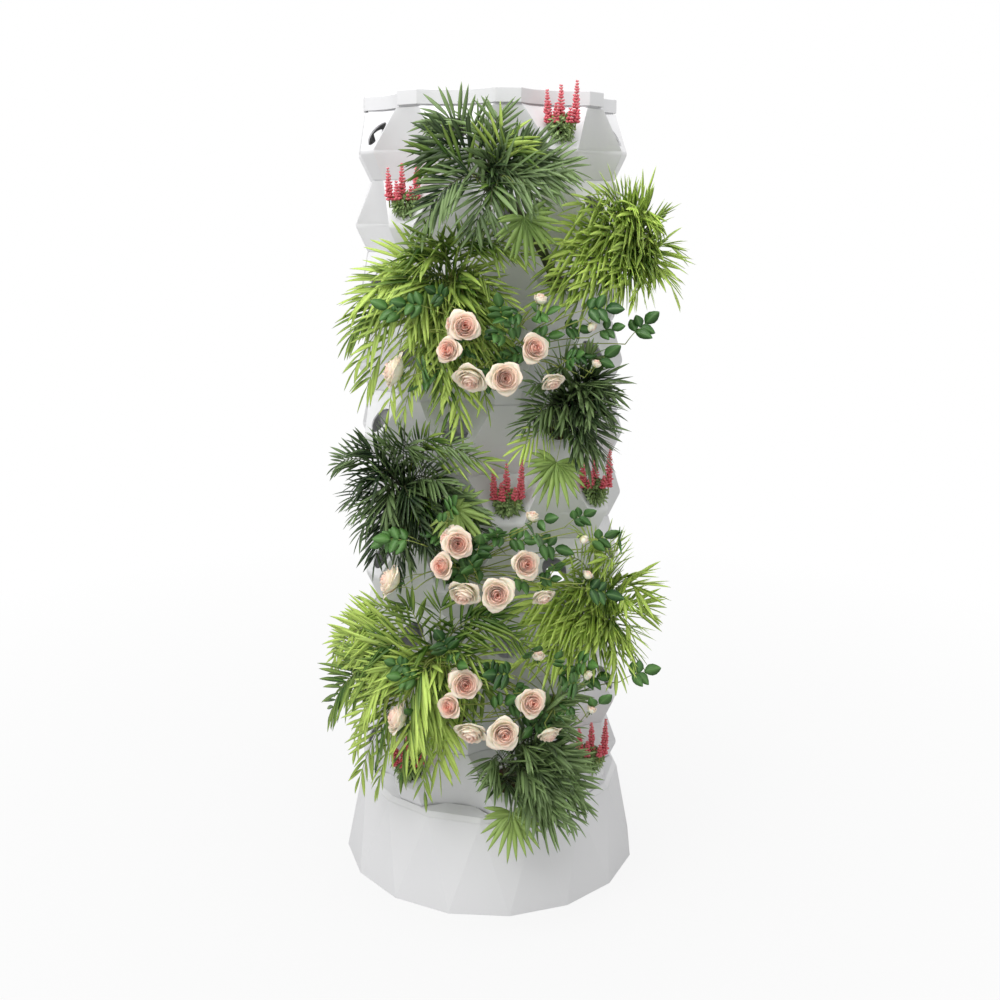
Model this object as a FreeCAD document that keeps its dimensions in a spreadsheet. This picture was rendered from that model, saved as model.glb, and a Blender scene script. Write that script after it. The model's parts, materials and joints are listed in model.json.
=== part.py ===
"""Vertical planter tower: a faceted water tank, ten staggered pocket tiers, a lid, a pump with its riser, and
seventeen planted net cups. Millimetres, +Z up, origin on the floor under the tower's axis, front towards -Y."""
import FreeCAD, Part
import math
import os

from FreeCAD import Placement, Rotation, Vector

doc = FreeCAD.newDocument("planter_tower")
UP = Vector(0, 0, 1)

# Driving dimensions

SIZES = [
    ("tiers", 10, "pocket tiers in the stack"),
    ("pockets", 8, "pockets round one tier"),
    ("tier_pitch", 135, "height of one tier"),
    ("tier_wall", 3, "moulded wall of a tier"),
    ("foot_apothem", 242, "axis to the narrow edges at the foot of a tier"),
    ("foot_width", 46, "length of those narrow edges"),
    ("valley_depth", 28, "how far the long edges curve in"),
    ("pad_width", 62, "flat middle of a curved long edge"),
    ("lip_apothem", 264, "axis to the pocket lips"),
    ("lip_width", 60, "length of a pocket lip"),
    ("lip_height", 54, "pocket lip above the foot of its tier"),
    ("lip_band", 6, "upright band under a pocket lip"),
    ("hole_radius", 26, "planting hole"),
    ("hole_sides", 8, "flats round a planting hole"),
    ("small_sides", 12, "flats round the small turned parts"),
    ("hole_offset", 38, "lip to the middle of the planting hole, up the pocket"),
    ("tabs", 4, "locating tabs under a tier"),
    ("tab_width", 30, "locating tab under a narrow edge"),
    ("tab_drop", 10, "how far a tab reaches into the tier below"),
    ("tab_thick", 2.4, "thickness of a tab"),
    ("seat_gap", 0.4, "clearance round parts that drop into each other"),
    ("tank_corners", 16, "corners of the tank's floor"),
    ("tank_foot_radius", 300, "axis to a corner of the tank's floor"),
    ("tank_rim_radius", 266, "axis to a corner of the tank's rim"),
    ("tank_height", 168, "height of the tank's rim"),
    ("tank_wall", 4, "wall of the tank"),
    ("tank_floor", 5, "floor of the tank"),
    ("cover_height", 9, "tank rim to the cover's deck"),
    ("cover_slope", 8, "how far the cover's edge runs in"),
    ("cover_wall", 3, "wall of the cover"),
    ("socket_depth", 18, "how deep the lowest tier stands in the cover"),
    ("drain_radius", 150, "return opening in the cover's tray"),
    ("skirt_drop", 10, "cover's locating skirt inside the tank"),
    ("lid_overlap", 3, "how far the lid's skirt reaches down"),
    ("lid_height", 23, "lid above the top tier"),
    ("lid_wall", 3, "wall of the lid"),
    ("lid_crown", 6, "rise of the lid's middle"),
    ("lid_crown_radius", 190, "foot of the lid's raised middle"),
    ("pump_length", 118, "pump housing"),
    ("pump_width", 74, "pump housing"),
    ("pump_height", 78, "pump housing"),
    ("pump_corner", 8, "cut corners of the pump housing"),
    ("sucker_height", 8, "suction foot under the pump"),
    ("sucker_radius", 11, "suction foot under the pump"),
    ("sucker_sides", 10, "flats round a suction foot"),
    ("outlet_radius", 10, "pump outlet"),
    ("outlet_height", 22, "pump outlet above the housing"),
    ("outlet_wall", 2.5, "wall of the pump outlet"),
    ("strainer_depth", 16, "intake strainer in front of the pump"),
    ("strainer_slots", 7, "slots in the strainer"),
    ("pipe_radius", 12.7, "riser pipe, outside"),
    ("pipe_wall", 2.2, "riser pipe"),
    ("pipe_joint", 700, "height where the riser's two lengths meet"),
    ("bell_length", 34, "widened end of the lower pipe"),
    ("bell_wall", 2.4, "wall of that widened end"),
    ("dish_drop", 62, "top tier's rim to the rim of the distributor dish"),
    ("dish_radius", 178, "distributor dish"),
    ("dish_depth", 16, "distributor dish"),
    ("dish_wall", 2.5, "distributor dish"),
    ("drip_radius", 4, "drip hole in the dish"),
    ("head_radius", 24, "spray head"),
    ("head_height", 20, "spray head above the pipe"),
    ("cup_depth", 50, "net cup below its rim"),
    ("cup_wall", 1.6, "net cup"),
    ("cup_foot_radius", 18, "foot of the net cup"),
    ("cup_rim_width", 4, "rim of the net cup beyond the planting hole"),
    ("cup_rim_thick", 2, "rim of the net cup"),
    ("cup_sides", 8, "flats round the net cup"),
    ("cup_slots", 2, "slots through the net cup's wall"),
    ("cup_slot_width", 6.5, "those slots"),
    ("tap_height", 32, "drain tap above the floor"),
    ("tap_bore", 6, "water way of the tap"),
    ("barrel_radius", 10, "threaded barrel of the tap"),
    ("tap_reach", 46, "tap's body in front of its flange"),
    ("flange_radius", 17, "flange of the tap"),
    ("flange_thick", 4, "flange of the tap"),
    ("boss_radius", 22, "flat boss that the tap sits on"),
    ("nut_across", 30, "nut of the tap, across its flats"),
    ("nut_thick", 7, "nut of the tap"),
    ("lever_length", 40, "lever of the tap"),
    ("lever_width", 11, "lever of the tap"),
    ("lever_thick", 3.5, "lever of the tap"),
    ("stem_radius", 4, "stem that the lever turns on"),
    ("hatch_width", 52, "filler hatch"),
    ("hatch_tall", 34, "filler hatch"),
    ("hatch_height", 128, "middle of the filler hatch above the floor"),
    ("flap_margin", 6, "flap beyond the hatch"),
    ("flap_thick", 3, "filler flap"),
    ("pin_radius", 1.5, "hinge pin of the flap"),
    ("knuckle_radius", 3.6, "hinge knuckles"),
    ("grommet_radius", 9, "cable grommet's hole"),
    ("grommet_bore", 4.5, "cable way through the grommet"),
    ("grommet_flange", 3, "grommet beyond its hole"),
    ("grommet_height", 138, "grommet above the floor"),
    ("leaf_thick", 5, "blade of a frond, as a closed solid"),
    ("frond_width", 56, "frond across its leaflets"),
    ("stalk_thick", 16, "stalks of a palm that stands above its pocket"),
    ("heart_radius", 15, "where such a palm's fronds part"),
    ("crown_radius", 19, "leafy crown over a cup"),
    ("bloom_radius", 27, "open rose"),
    ("bud_radius", 13, "rose bud"),
    ("stem_thick", 5, "rose stem"),
    ("stem_reach", 24, "how far a rose stem bows outwards"),
    ("spray_radius", 352, "axis to the middle of a rose"),
    ("spike_height", 78, "tallest flower spike"),
    ("spike_radius", 8, "flower spike near its foot"),
]

sheet = doc.addObject("Spreadsheet::Sheet", "Sizes")
for row, (alias, value, meaning) in enumerate(SIZES, start=1):
    sheet.set("A%d" % row, meaning)
    sheet.set("B%d" % row, str(value))
    sheet.setAlias("B%d" % row, alias)
doc.recompute()

PARTS = []


def size(alias):
    """A driving dimension, read from the sheet."""
    return float(sheet.get(alias))


def count(alias):
    return int(size(alias))


def part(item, label):
    """Registers a finished sub-part under the name of its file."""
    item.Label = label
    PARTS.append(item)
    return item


def bind(item, **cells):
    """Binds properties of a document object to cells of the sheet."""
    for prop, formula in cells.items():
        words = formula
        for alias, _, _ in SIZES:
            words = replace_word(words, alias)
        item.setExpression(prop.replace("__", "."), words)
    return item


def replace_word(text, alias):
    """Writes Sizes. in front of an alias wherever it stands as a whole word."""
    out = []
    word = ""
    for sign in text + " ":
        if sign.isalnum() or sign in "_.":
            word += sign
            continue
        out.append("Sizes." + word if word == alias else word)
        out.append(sign)
        word = ""
    return "".join(out).strip()


def primitive(kind, name, **cells):
    """A Part primitive with its sizes bound to the sheet."""
    return bind(doc.addObject("Part::" + kind, name), **cells)


def cut(name, base, tool):
    item = doc.addObject("Part::Cut", name)
    item.Base = base
    item.Tool = tool
    return item


def fuse(name, *items):
    item = doc.addObject("Part::MultiFuse", name)
    item.Shapes = list(items)
    return item


def feature(name, shape, placement=None):
    """A sub-part whose shape is worked out here, with its placement set afterwards."""
    item = doc.addObject("Part::Feature", name)
    item.Shape = shape
    if placement is not None:
        item.Placement = placement
    return item


# Geometry helpers: places are given as distance from the axis, angle from the front, and height

def polar(radius, degrees, height):
    turn = math.radians(degrees)
    return Vector(radius * math.sin(turn), -radius * math.cos(turn), height)


def beside(across, out, degrees, height):
    """A point across and out from the axis, in the upright plane that faces the given angle."""
    turn = math.radians(degrees)
    return Vector(across * math.cos(turn) + out * math.sin(turn), across * math.sin(turn) - out * math.cos(turn),
                  height)


def facet(*corners):
    return Part.Face(Part.makePolygon(list(corners) + [corners[0]]))


def closed(faces):
    """One solid from the flat faces that bound it."""
    solid = Part.makeSolid(Part.makeShell(faces))
    if solid.Volume < 0:
        solid.reverse()
    return solid


def hull_of_rings(rings, start=None, end=None, twisted=False):
    """A closed flat-faced body through rings of corners, with an optional point at each end."""
    faces = []
    sides = len(rings[0])
    for low, high in zip(rings, rings[1:]):
        for i in range(sides):
            j = (i + 1) % sides
            if twisted:
                faces.append(facet(low[i], low[j], high[j]))
                faces.append(facet(low[i], high[j], high[i]))
            else:
                faces.append(facet(low[i], low[j], high[j], high[i]))
    for ring, point in ((rings[0], start), (rings[-1], end)):
        if point is None:
            faces.append(facet(*ring))
        else:
            faces.extend(facet(ring[i], ring[(i + 1) % sides], point) for i in range(sides))
    return closed(faces)


def polygon_ring(centre, direction, radius, sides, squash=1.0):
    """Corners of a regular polygon square to a direction."""
    side = direction.cross(UP)
    if side.Length < 0.001:
        side = Vector(1, 0, 0)
    side.normalize()
    other = side.cross(direction)
    ring = []
    for i in range(sides):
        turn = 2 * math.pi * (i + 0.5) / sides
        ring.append(centre + side * (radius * math.cos(turn)) + other * (radius * squash * math.sin(turn)))
    return ring


def taper(sides, low_radius, low, high_radius, high, first=0.0):
    """An upright tapered block with flat sides round the axis."""
    rings = []
    for radius, height in ((low_radius, low), (high_radius, high)):
        rings.append([polar(radius, first + 360 * i / sides, height) for i in range(sides)])
    return hull_of_rings(rings)


def prism(wire, low, high):
    """An upright block over a flat outline."""
    face = Part.Face(wire)
    face.translate(Vector(0, 0, low - face.BoundBox.ZMin))
    return face.extrude(Vector(0, 0, high - low))


def grown(ring, amount):
    """A ring of corners round the axis with every side moved outwards by an amount."""
    moved = []
    for i, corner in enumerate(ring):
        before = corner - ring[i - 1]
        after = ring[(i + 1) % len(ring)] - corner
        normals = []
        for side in (before, after):
            normal = side.cross(UP)
            normal.normalize()
            normals.append(normal)
        share = 1 + normals[0].dot(normals[1])
        moved.append(corner + (normals[0] + normals[1]) * (amount / share))
    return moved


def outline(sides, radius, first=0.0, height=0.0):
    """An upright regular polygon round the axis."""
    corners = [polar(radius, first + 360 * i / sides, height) for i in range(sides)]
    return Part.makePolygon(corners + [corners[0]])


# Levels of the stack

STEP = 360 / count("pockets")
HALF = STEP / 2
DECK = size("tank_height") + size("cover_height")
STACK_FOOT = DECK - size("socket_depth")
STACK_TOP = STACK_FOOT + count("tiers") * size("tier_pitch")


# Tier: pockets with flat lips, curved valleys between them, and planting holes in the pockets

def valley_circle():
    """Radius of a curved long edge and the distance from the axis to its centre."""
    narrow = size("foot_width") / 2
    corner = Vector(narrow, size("foot_apothem"), 0)
    turn = math.radians(HALF)
    half_chord = corner.y * math.sin(turn) - corner.x * math.cos(turn)
    apothem = corner.y * math.cos(turn) + corner.x * math.sin(turn)
    depth = size("valley_depth")
    radius = (half_chord ** 2 + depth ** 2) / (2 * depth)
    return radius, apothem - depth + radius


def pocket_slope():
    """Direction up the pocket's flat middle, as outward and upward shares."""
    radius, centre = valley_circle()
    pad = centre - math.sqrt(radius ** 2 - (size("pad_width") / 2) ** 2)
    run = Vector(pad - size("lip_apothem"), size("tier_pitch") - size("lip_height"), 0)
    return run.normalize()


def tier_faces(inset):
    """Faces of one skin of a tier, drawn in by the wall for the inner one, and its two open outlines."""
    radius, centre = valley_circle()
    slope = pocket_slope()
    radius += inset / slope.y
    apothem = size("foot_apothem") - inset
    pad = size("pad_width") / 2 - inset / 2
    pad_out = centre - math.sqrt(radius ** 2 - pad ** 2)
    turn = math.radians(HALF)
    narrow = centre * math.sin(turn) - math.sqrt(radius ** 2 - (centre * math.cos(turn) - apothem) ** 2)
    lip_half = size("lip_width") / 2 - inset / 2
    lip_out = size("lip_apothem") - inset
    under = math.atan2(size("lip_apothem") - size("foot_apothem"), size("lip_height") - size("lip_band"))
    lip_up = size("lip_height") + inset * slope.y / -slope.x - inset / -slope.x
    band_up = size("lip_height") - size("lip_band") - inset / math.tan(under) + inset / math.sin(under)
    top = size("tier_pitch")
    faces, top_ring, foot_ring = [], [], []
    for k in range(count("pockets")):
        here = STEP * k
        between = here + HALF
        for side in (-1, 1):
            pad_top = beside(side * pad, pad_out, here, top)
            corner_top = beside(-side * narrow, apothem, here + side * HALF, top)
            lip = beside(side * lip_half, lip_out, here, lip_up)
            faces.append(facet(pad_top, corner_top, lip))
        faces.append(facet(beside(-pad, pad_out, here, top), beside(pad, pad_out, here, top),
                           beside(lip_half, lip_out, here, lip_up), beside(-lip_half, lip_out, here, lip_up)))
        faces.append(facet(beside(-lip_half, lip_out, here, lip_up), beside(lip_half, lip_out, here, lip_up),
                           beside(lip_half, lip_out, here, band_up), beside(-lip_half, lip_out, here, band_up)))
        faces.append(facet(beside(-lip_half, lip_out, here, band_up), beside(lip_half, lip_out, here, band_up),
                           beside(narrow, apothem, here, 0), beside(-narrow, apothem, here, 0)))
        faces.append(facet(beside(-narrow, apothem, between, top), beside(narrow, apothem, between, top),
                           beside(pad, pad_out, between, 0), beside(-pad, pad_out, between, 0)))
        for side in (-1, 1):
            pocket = between + side * HALF
            top_corner = beside(side * narrow, apothem, between, top)
            pad_foot = beside(side * pad, pad_out, between, 0)
            foot_corner = beside(-side * narrow, apothem, pocket, 0)
            lip = beside(-side * lip_half, lip_out, pocket, lip_up)
            band = beside(-side * lip_half, lip_out, pocket, band_up)
            faces.append(facet(top_corner, pad_foot, lip))
            faces.append(facet(pad_foot, band, lip))
            faces.append(facet(pad_foot, foot_corner, band))
        top_ring += [beside(-pad, pad_out, here, top), beside(pad, pad_out, here, top),
                     beside(-narrow, apothem, between, top), beside(narrow, apothem, between, top)]
        foot_ring += [beside(-narrow, apothem, here, 0), beside(narrow, apothem, here, 0),
                      beside(-pad, pad_out, between, 0), beside(pad, pad_out, between, 0)]
    return faces, top_ring, foot_ring


def loop(ring):
    return Part.makePolygon(ring + [ring[0]])


def tier_skin(growth):
    """The solid inside one skin of a tier, grown outwards."""
    faces, top_ring, foot_ring = tier_faces(-growth)
    return closed(faces + [Part.Face(loop(top_ring)), Part.Face(loop(foot_ring))])


def pocket_place(degrees, depth=0.0):
    """Placement on a planting hole of the tier at the origin: +Z out of the pocket and +X level along it."""
    slope = pocket_slope()
    out = size("lip_apothem") + slope.x * size("hole_offset")
    up = size("lip_height") + slope.y * size("hole_offset")
    axis = polar(slope.y, degrees, -slope.x)
    across = beside(1, 0, degrees, 0)
    return Placement(polar(out, degrees, up) + axis * depth, Rotation(across, axis.cross(across), axis, "ZXY"))


def tier_shape():
    """Shell of one tier, with its planting holes and the locating tabs under its narrow edges."""
    wall = size("tier_wall")
    shell = tier_skin(0.0).cut(tier_skin(-wall))
    reach = 4 * wall
    hole = outline(count("hole_sides"), size("hole_radius"))
    holes = []
    for k in range(count("pockets")):
        drill = prism(hole, -reach, reach)
        drill.Placement = pocket_place(STEP * k)
        holes.append(drill)
    out = size("foot_apothem") - wall - size("seat_gap")
    back = out - size("tab_thick")
    radius, centre = valley_circle()
    lean_in = size("tab_drop") * (size("foot_apothem") - centre + radius) / size("tier_pitch")
    profile = [(back - lean_in, -size("tab_drop")), (out - lean_in, -size("tab_drop")), (out, 0), (out + wall, 0),
               (out + wall, wall), (back, wall)]
    tabs = []
    for k in range(count("tabs")):
        corners = [beside(-size("tab_width") / 2, across, 360 * k / size("tabs"), up) for across, up in profile]
        tabs.append(Part.Face(loop(corners)).extrude(beside(size("tab_width"), 0, 360 * k / size("tabs"), 0)))
    return shell.cut(holes).fuse(tabs).removeSplitter()


TIER = tier_shape()


def tier_section(height, growth):
    """Outline of a tier at one height above its foot, grown outwards."""
    return tier_skin(growth).slice(UP, height)[0]


def tier_place(number):
    """Tiers count from the top; every other one is turned by half a pocket."""
    level = STACK_FOOT + (count("tiers") - number) * size("tier_pitch")
    turned = HALF if number % 2 else 0.0
    return Placement(Vector(0, 0, level), Rotation(UP, turned))


for number in range(1, count("tiers") + 1):
    label = "tier_%02d" % number
    part(feature(label, TIER.copy(), tier_place(number)), label)


# Tank: creased sides, a triangle standing on each floor edge and one hanging from each rim edge

TANK_TURN = 360 / count("tank_corners")


def creased_block(inset, low, high):
    """The tank's creased form, cut off at two heights."""
    sides = count("tank_corners")
    height = size("tank_height")
    foot = size("tank_foot_radius") - inset
    rim = size("tank_rim_radius") - inset
    faces = []
    foot_ring = [polar(foot, TANK_TURN * i, 0) for i in range(sides)]
    rim_ring = [polar(rim, TANK_TURN * (i + 0.5), height) for i in range(sides)]
    for i in range(sides):
        j = (i + 1) % sides
        faces.append(facet(foot_ring[i], foot_ring[j], rim_ring[i]))
        faces.append(facet(rim_ring[i], rim_ring[j], foot_ring[j]))
    faces.append(facet(*foot_ring))
    faces.append(facet(*rim_ring))
    block = closed(faces)
    if low <= 0 and high >= height:
        return block
    width = 4 * foot
    return block.common(Part.makeBox(width, width, high - low, Vector(-width / 2, -width / 2, low)))


TAP_ANGLE = 180 - TANK_TURN / 2
HATCH_ANGLE = 180 - TANK_TURN
GROMMET_ANGLE = 180.0


def tank_side(degrees, height):
    """Distance from the axis to the tank's side, out at an angle, at one height."""
    ray = Part.makeLine(Vector(0, 0, height), polar(2 * size("tank_foot_radius"), degrees, height))
    return ray.common(creased_block(0.0, 0, size("tank_height"))).BoundBox.DiagonalLength


def lean(degrees):
    """Placement on the tank's side at the filler hatch or the grommet, +Z square to the face and +Y up it."""
    height = size("hatch_height") if degrees == HATCH_ANGLE else size("grommet_height")
    foot = tank_side(degrees, height - 10)
    head = tank_side(degrees, height + 10)
    out = polar(20, degrees, foot - head)
    up = polar(head - foot, degrees, 20)
    across = up.cross(out)
    return Placement(polar((foot + head) / 2, degrees, height), Rotation(across, up, out, "ZXY"))


TAP_FACE = tank_side(TAP_ANGLE, size("tap_height") - size("boss_radius")) + 1
BOSS_HEAD = tank_side(TAP_ANGLE, size("tap_height") + size("boss_radius"))
BOSS_DEEP = TAP_FACE - BOSS_HEAD + 1.5 * size("tank_wall")
HATCH_PLACE = lean(HATCH_ANGLE)
GROMMET_PLACE = lean(GROMMET_ANGLE)


def on_tap(shape, out):
    """Turns a shape drawn along +Z from the origin so that it points out of the tank at the tap."""
    shape.Placement = Placement(polar(out, TAP_ANGLE, size("tap_height")), Rotation(UP, polar(1, TAP_ANGLE, 0)))
    return shape


def small_rod(radius, length, start=0.0):
    """A flat-sided rod along +Z, one of its corners on +X."""
    return prism(outline(count("small_sides"), radius, 90), start, start + length)


def tank_shape():
    """Open tank with the tap's boss, the filler hatch and the cable hole."""
    wall, floor = size("tank_wall"), size("tank_floor")
    body = creased_block(0.0, 0, size("tank_height"))
    deep = 4 * wall
    half = size("boss_radius")
    boss = on_tap(Part.makeBox(2 * half, 2 * half, BOSS_DEEP, Vector(-half, -half, 0)), TAP_FACE - BOSS_DEEP)
    body = body.cut(creased_block(wall, floor, size("tank_height") + 1)).fuse(boss)
    hole = on_tap(small_rod(size("barrel_radius") + size("seat_gap"), 4 * deep), TAP_FACE - 3 * deep)
    hatch = Part.makeBox(size("hatch_width"), size("hatch_tall"), 6 * wall,
                         Vector(-size("hatch_width") / 2, -size("hatch_tall") / 2, -3 * wall))
    hatch.Placement = HATCH_PLACE
    cable = small_rod(size("grommet_radius"), 6 * wall, -3 * wall)
    cable.Placement = GROMMET_PLACE
    ears = []
    for side in (-1, 1):
        ear = knuckle(ear_length(), side * ear_middle())
        foot = Part.makeBox(ear_length(), 2 * size("knuckle_radius"), pin_out() + size("tank_wall") / 2,
                            Vector(side * ear_middle() - ear_length() / 2, pin_up() - size("knuckle_radius"),
                                   -size("tank_wall") / 2))
        ear = ear.fuse(foot)
        bore = Part.makeCylinder(size("pin_radius"), 2 * size("hatch_width"),
                                 Vector(-size("hatch_width"), pin_up(), pin_out()), Vector(1, 0, 0))
        ear = ear.cut(bore)
        ear.Placement = HATCH_PLACE
        ears.append(ear)
    return body.cut([hole, hatch, cable]).fuse(ears).removeSplitter()


# Filler flap: its hinge stands above the hatch, two ears on the tank and one knuckle on the flap

def pin_out():
    return size("knuckle_radius") + size("seat_gap")


def pin_up():
    return size("hatch_tall") / 2 + size("flap_margin") + size("knuckle_radius")


def ear_length():
    return size("hatch_width") / 6


def ear_middle():
    return size("hatch_width") / 2 - ear_length() / 2


def knuckle(length, middle):
    """A flat-sided hinge knuckle on the pin's line, with its middle at a distance along it."""
    rod = small_rod(size("knuckle_radius"), length, -length / 2)
    rod.Placement = Placement(Vector(middle, pin_up(), pin_out()), Rotation(UP, Vector(1, 0, 0)))
    return rod


def flap_shape():
    """Flap that lies on the hatch, with its knuckle round the pin."""
    gap = size("seat_gap")
    wide = size("hatch_width") + 2 * size("flap_margin")
    tall = size("hatch_tall") + 2 * size("flap_margin")
    plate = Part.makeBox(wide, tall, size("flap_thick"), Vector(-wide / 2, -tall / 2, gap))
    plate = plate.makeChamfer(size("flap_margin") / 2, [edge for edge in plate.Edges if edge.BoundBox.ZLength > 1])
    knuckle_long = 2 * (ear_middle() - ear_length() / 2 - gap)
    web = Part.makeBox(knuckle_long, size("knuckle_radius") + size("flap_margin"), size("flap_thick"),
                       Vector(-knuckle_long / 2, pin_up() - size("knuckle_radius") - size("flap_margin"), gap))
    bore = Part.makeCylinder(size("pin_radius") + gap / 8, 2 * knuckle_long,
                             Vector(-knuckle_long, pin_up(), pin_out()), Vector(1, 0, 0))
    pull = Part.makeBox(wide / 3, size("flap_thick"), 2 * size("flap_thick"), Vector(-wide / 6, -tall / 2, gap))
    return plate.fuse([knuckle(knuckle_long, 0), web, pull]).cut(bore).removeSplitter()


part(feature("base_tank", tank_shape()), "base_tank")
part(feature("fill_flap", flap_shape(), HATCH_PLACE), "fill_flap")
pin = Part.makeCylinder(size("pin_radius"), 2 * ear_middle() + ear_length(),
                        Vector(-ear_middle() - ear_length() / 2, pin_up(), pin_out()), Vector(1, 0, 0))
part(feature("flap_pin", pin, HATCH_PLACE), "flap_pin")


# Cover: the deck with its sloped edge, and the tray that the lowest tier stands in

def cover_shape():
    wall, gap = size("cover_wall"), size("seat_gap")
    sides = count("tank_corners")
    low, high = size("tank_height"), DECK
    tray_floor = STACK_FOOT - wall
    block = taper(sides, size("tank_rim_radius"), low, size("tank_rim_radius") - size("cover_slope"), high,
                  TANK_TURN / 2)
    hollow_radius = size("tank_rim_radius") - size("cover_slope") - wall
    hollow = prism(outline(sides, hollow_radius, TANK_TURN / 2), low - 1, high - wall)
    skirt_radius = size("tank_rim_radius") - size("tank_wall") - gap
    skirt = prism(outline(sides, skirt_radius, TANK_TURN / 2), low - size("skirt_drop"), low + wall)
    skirt = skirt.cut(prism(outline(sides, hollow_radius, TANK_TURN / 2), 0, high))
    turn = tier_place(count("tiers")).Rotation
    tray = prism(tier_section(size("socket_depth"), gap + wall), tray_floor, high - wall / 2)
    well = prism(tier_section(size("socket_depth"), gap), STACK_FOOT, high + 1)
    for piece in (tray, well):
        piece.Placement = Placement(Vector(), turn).multiply(piece.Placement)
    drain = prism(outline(sides, size("drain_radius"), TANK_TURN / 2), tray_floor - 1, STACK_FOOT + 1)
    tab_slots = []
    for k in range(count("tabs")):
        slot = Part.makeBox(size("tab_width") + 2 * gap, 3 * size("tab_thick"), size("tab_drop") + wall,
                            Vector(-size("tab_width") / 2 - gap,
                                   -size("foot_apothem") + size("tier_wall"), tray_floor - 1))
        slot.rotate(Vector(), UP, 360 * k / size("tabs"))
        slot.Placement = Placement(Vector(), turn).multiply(slot.Placement)
        tab_slots.append(slot)
    return block.cut(hollow).fuse([skirt, tray]).cut([well, drain] + tab_slots).removeSplitter()


part(feature("base_cover", cover_shape()), "base_cover")


# Lid: its skirt follows the top outline of the highest tier, and the rim of that tier carries it

def lid_shape():
    wall, gap = size("lid_wall"), size("seat_gap")
    top_ring = tier_faces(0.0)[1]
    outside = prism(loop(grown(top_ring, gap + wall)), -size("lid_overlap"), size("lid_height"))
    skirt_room = tier_skin(gap)
    skirt_room.translate(Vector(0, 0, -size("tier_pitch")))
    room = prism(loop(grown(top_ring, -wall)), -1, size("lid_height") - wall)
    sides = count("tank_corners")
    crown = taper(sides, size("lid_crown_radius"), size("lid_height") - wall / 2,
                  size("lid_crown_radius") / 3, size("lid_height") + size("lid_crown"))
    return outside.cut([skirt_room, room]).fuse(crown).removeSplitter()


lid_turn = tier_place(1).Rotation
part(feature("top_lid", lid_shape(), Placement(Vector(0, 0, STACK_TOP), lid_turn)), "top_lid")


# Pump on the tank's floor, its outlet on the axis

PUMP_FLOOR = size("tank_floor") + size("sucker_height")

housing = primitive("Box", "pump_housing", Length="pump_length", Width="pump_width", Height="pump_height",
                    Placement__Base__x="-pump_length * 0.62", Placement__Base__y="-pump_width / 2",
                    Placement__Base__z="tank_floor + sucker_height")
doc.recompute()
cornered = doc.addObject("Part::Chamfer", "pump_cornered")
cornered.Base = housing
cornered.Edges = [(i + 1, size("pump_corner"), size("pump_corner"))
                  for i, edge in enumerate(housing.Shape.Edges) if edge.BoundBox.ZLength > 1]
spout = primitive("Prism", "pump_spout", Polygon="small_sides", Circumradius="outlet_radius",
                  Height="outlet_height + outlet_wall",
                  Placement__Base__z="tank_floor + sucker_height + pump_height - outlet_wall")
spout_bore = primitive("Prism", "pump_spout_bore", Polygon="small_sides",
                       Circumradius="outlet_radius - outlet_wall", Height="2 * outlet_height",
                       Placement__Base__z="tank_floor + sucker_height + pump_height - outlet_height / 2")
part(cut("pump_body", fuse("pump_outside", cornered, spout), spout_bore), "pump_body")

plate = primitive("Box", "strainer_plate", Length="strainer_depth", Width="pump_width - 6",
                  Height="pump_height - 14", Placement__Base__x="pump_length * 0.38",
                  Placement__Base__y="-(pump_width - 6) / 2", Placement__Base__z="tank_floor + sucker_height + 7")
room = primitive("Box", "strainer_room", Length="strainer_depth - 3", Width="pump_width - 12",
                 Height="pump_height - 20", Placement__Base__x="pump_length * 0.38",
                 Placement__Base__y="-(pump_width - 12) / 2", Placement__Base__z="tank_floor + sucker_height + 10")
slots = []
for i in range(count("strainer_slots")):
    slot = primitive("Box", "strainer_slot_%d" % i, Length="strainer_depth", Width="3.5",
                     Height="pump_height - 30",
                     Placement__Base__x="pump_length * 0.38 + strainer_depth / 2",
                     Placement__Base__y="(pump_width - 20) * (%d / (strainer_slots - 1) - 0.5) - 1.75" % i,
                     Placement__Base__z="tank_floor + sucker_height + 15")
    slots.append(slot)
part(cut("pump_strainer", plate, fuse("strainer_cuts", room, *slots)), "pump_strainer")

suckers = []
for along, across in ((-0.54, -0.3), (-0.54, 0.3), (0.28, -0.3), (0.28, 0.3)):
    sucker = taper(count("sucker_sides"), size("sucker_radius"), size("tank_floor"),
                   size("sucker_radius") / 2, PUMP_FLOOR)
    sucker.translate(Vector(size("pump_length") * along, size("pump_width") * across, 0))
    suckers.append(sucker)
part(feature("pump_suckers", Part.makeCompound(suckers)), "pump_suckers")


# Riser: two lengths of pipe, the lower one with a widened end that takes the upper one

pipe_seat = "(tank_floor + sucker_height + pump_height)"
lower_tube = primitive("Prism", "lower_tube", Polygon="small_sides", Circumradius="pipe_radius",
                       Height="pipe_joint - %s" % pipe_seat, Placement__Base__z=pipe_seat)
bell = primitive("Prism", "lower_bell", Polygon="small_sides",
                 Circumradius="pipe_radius + bell_wall + seat_gap / 4", Height="bell_length",
                 Placement__Base__z="pipe_joint - bell_length / 4")
lower_way = primitive("Prism", "lower_way", Polygon="small_sides", Circumradius="pipe_radius - pipe_wall",
                      Height="pipe_joint - %s + 1" % pipe_seat, Placement__Base__z=pipe_seat)
bell_way = primitive("Prism", "lower_bell_way", Polygon="small_sides", Circumradius="pipe_radius + seat_gap / 4",
                     Height="bell_length + 1", Placement__Base__z="pipe_joint")
part(cut("riser_lower", fuse("lower_outside", lower_tube, bell), fuse("lower_ways", lower_way, bell_way)),
     "riser_lower")

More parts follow.
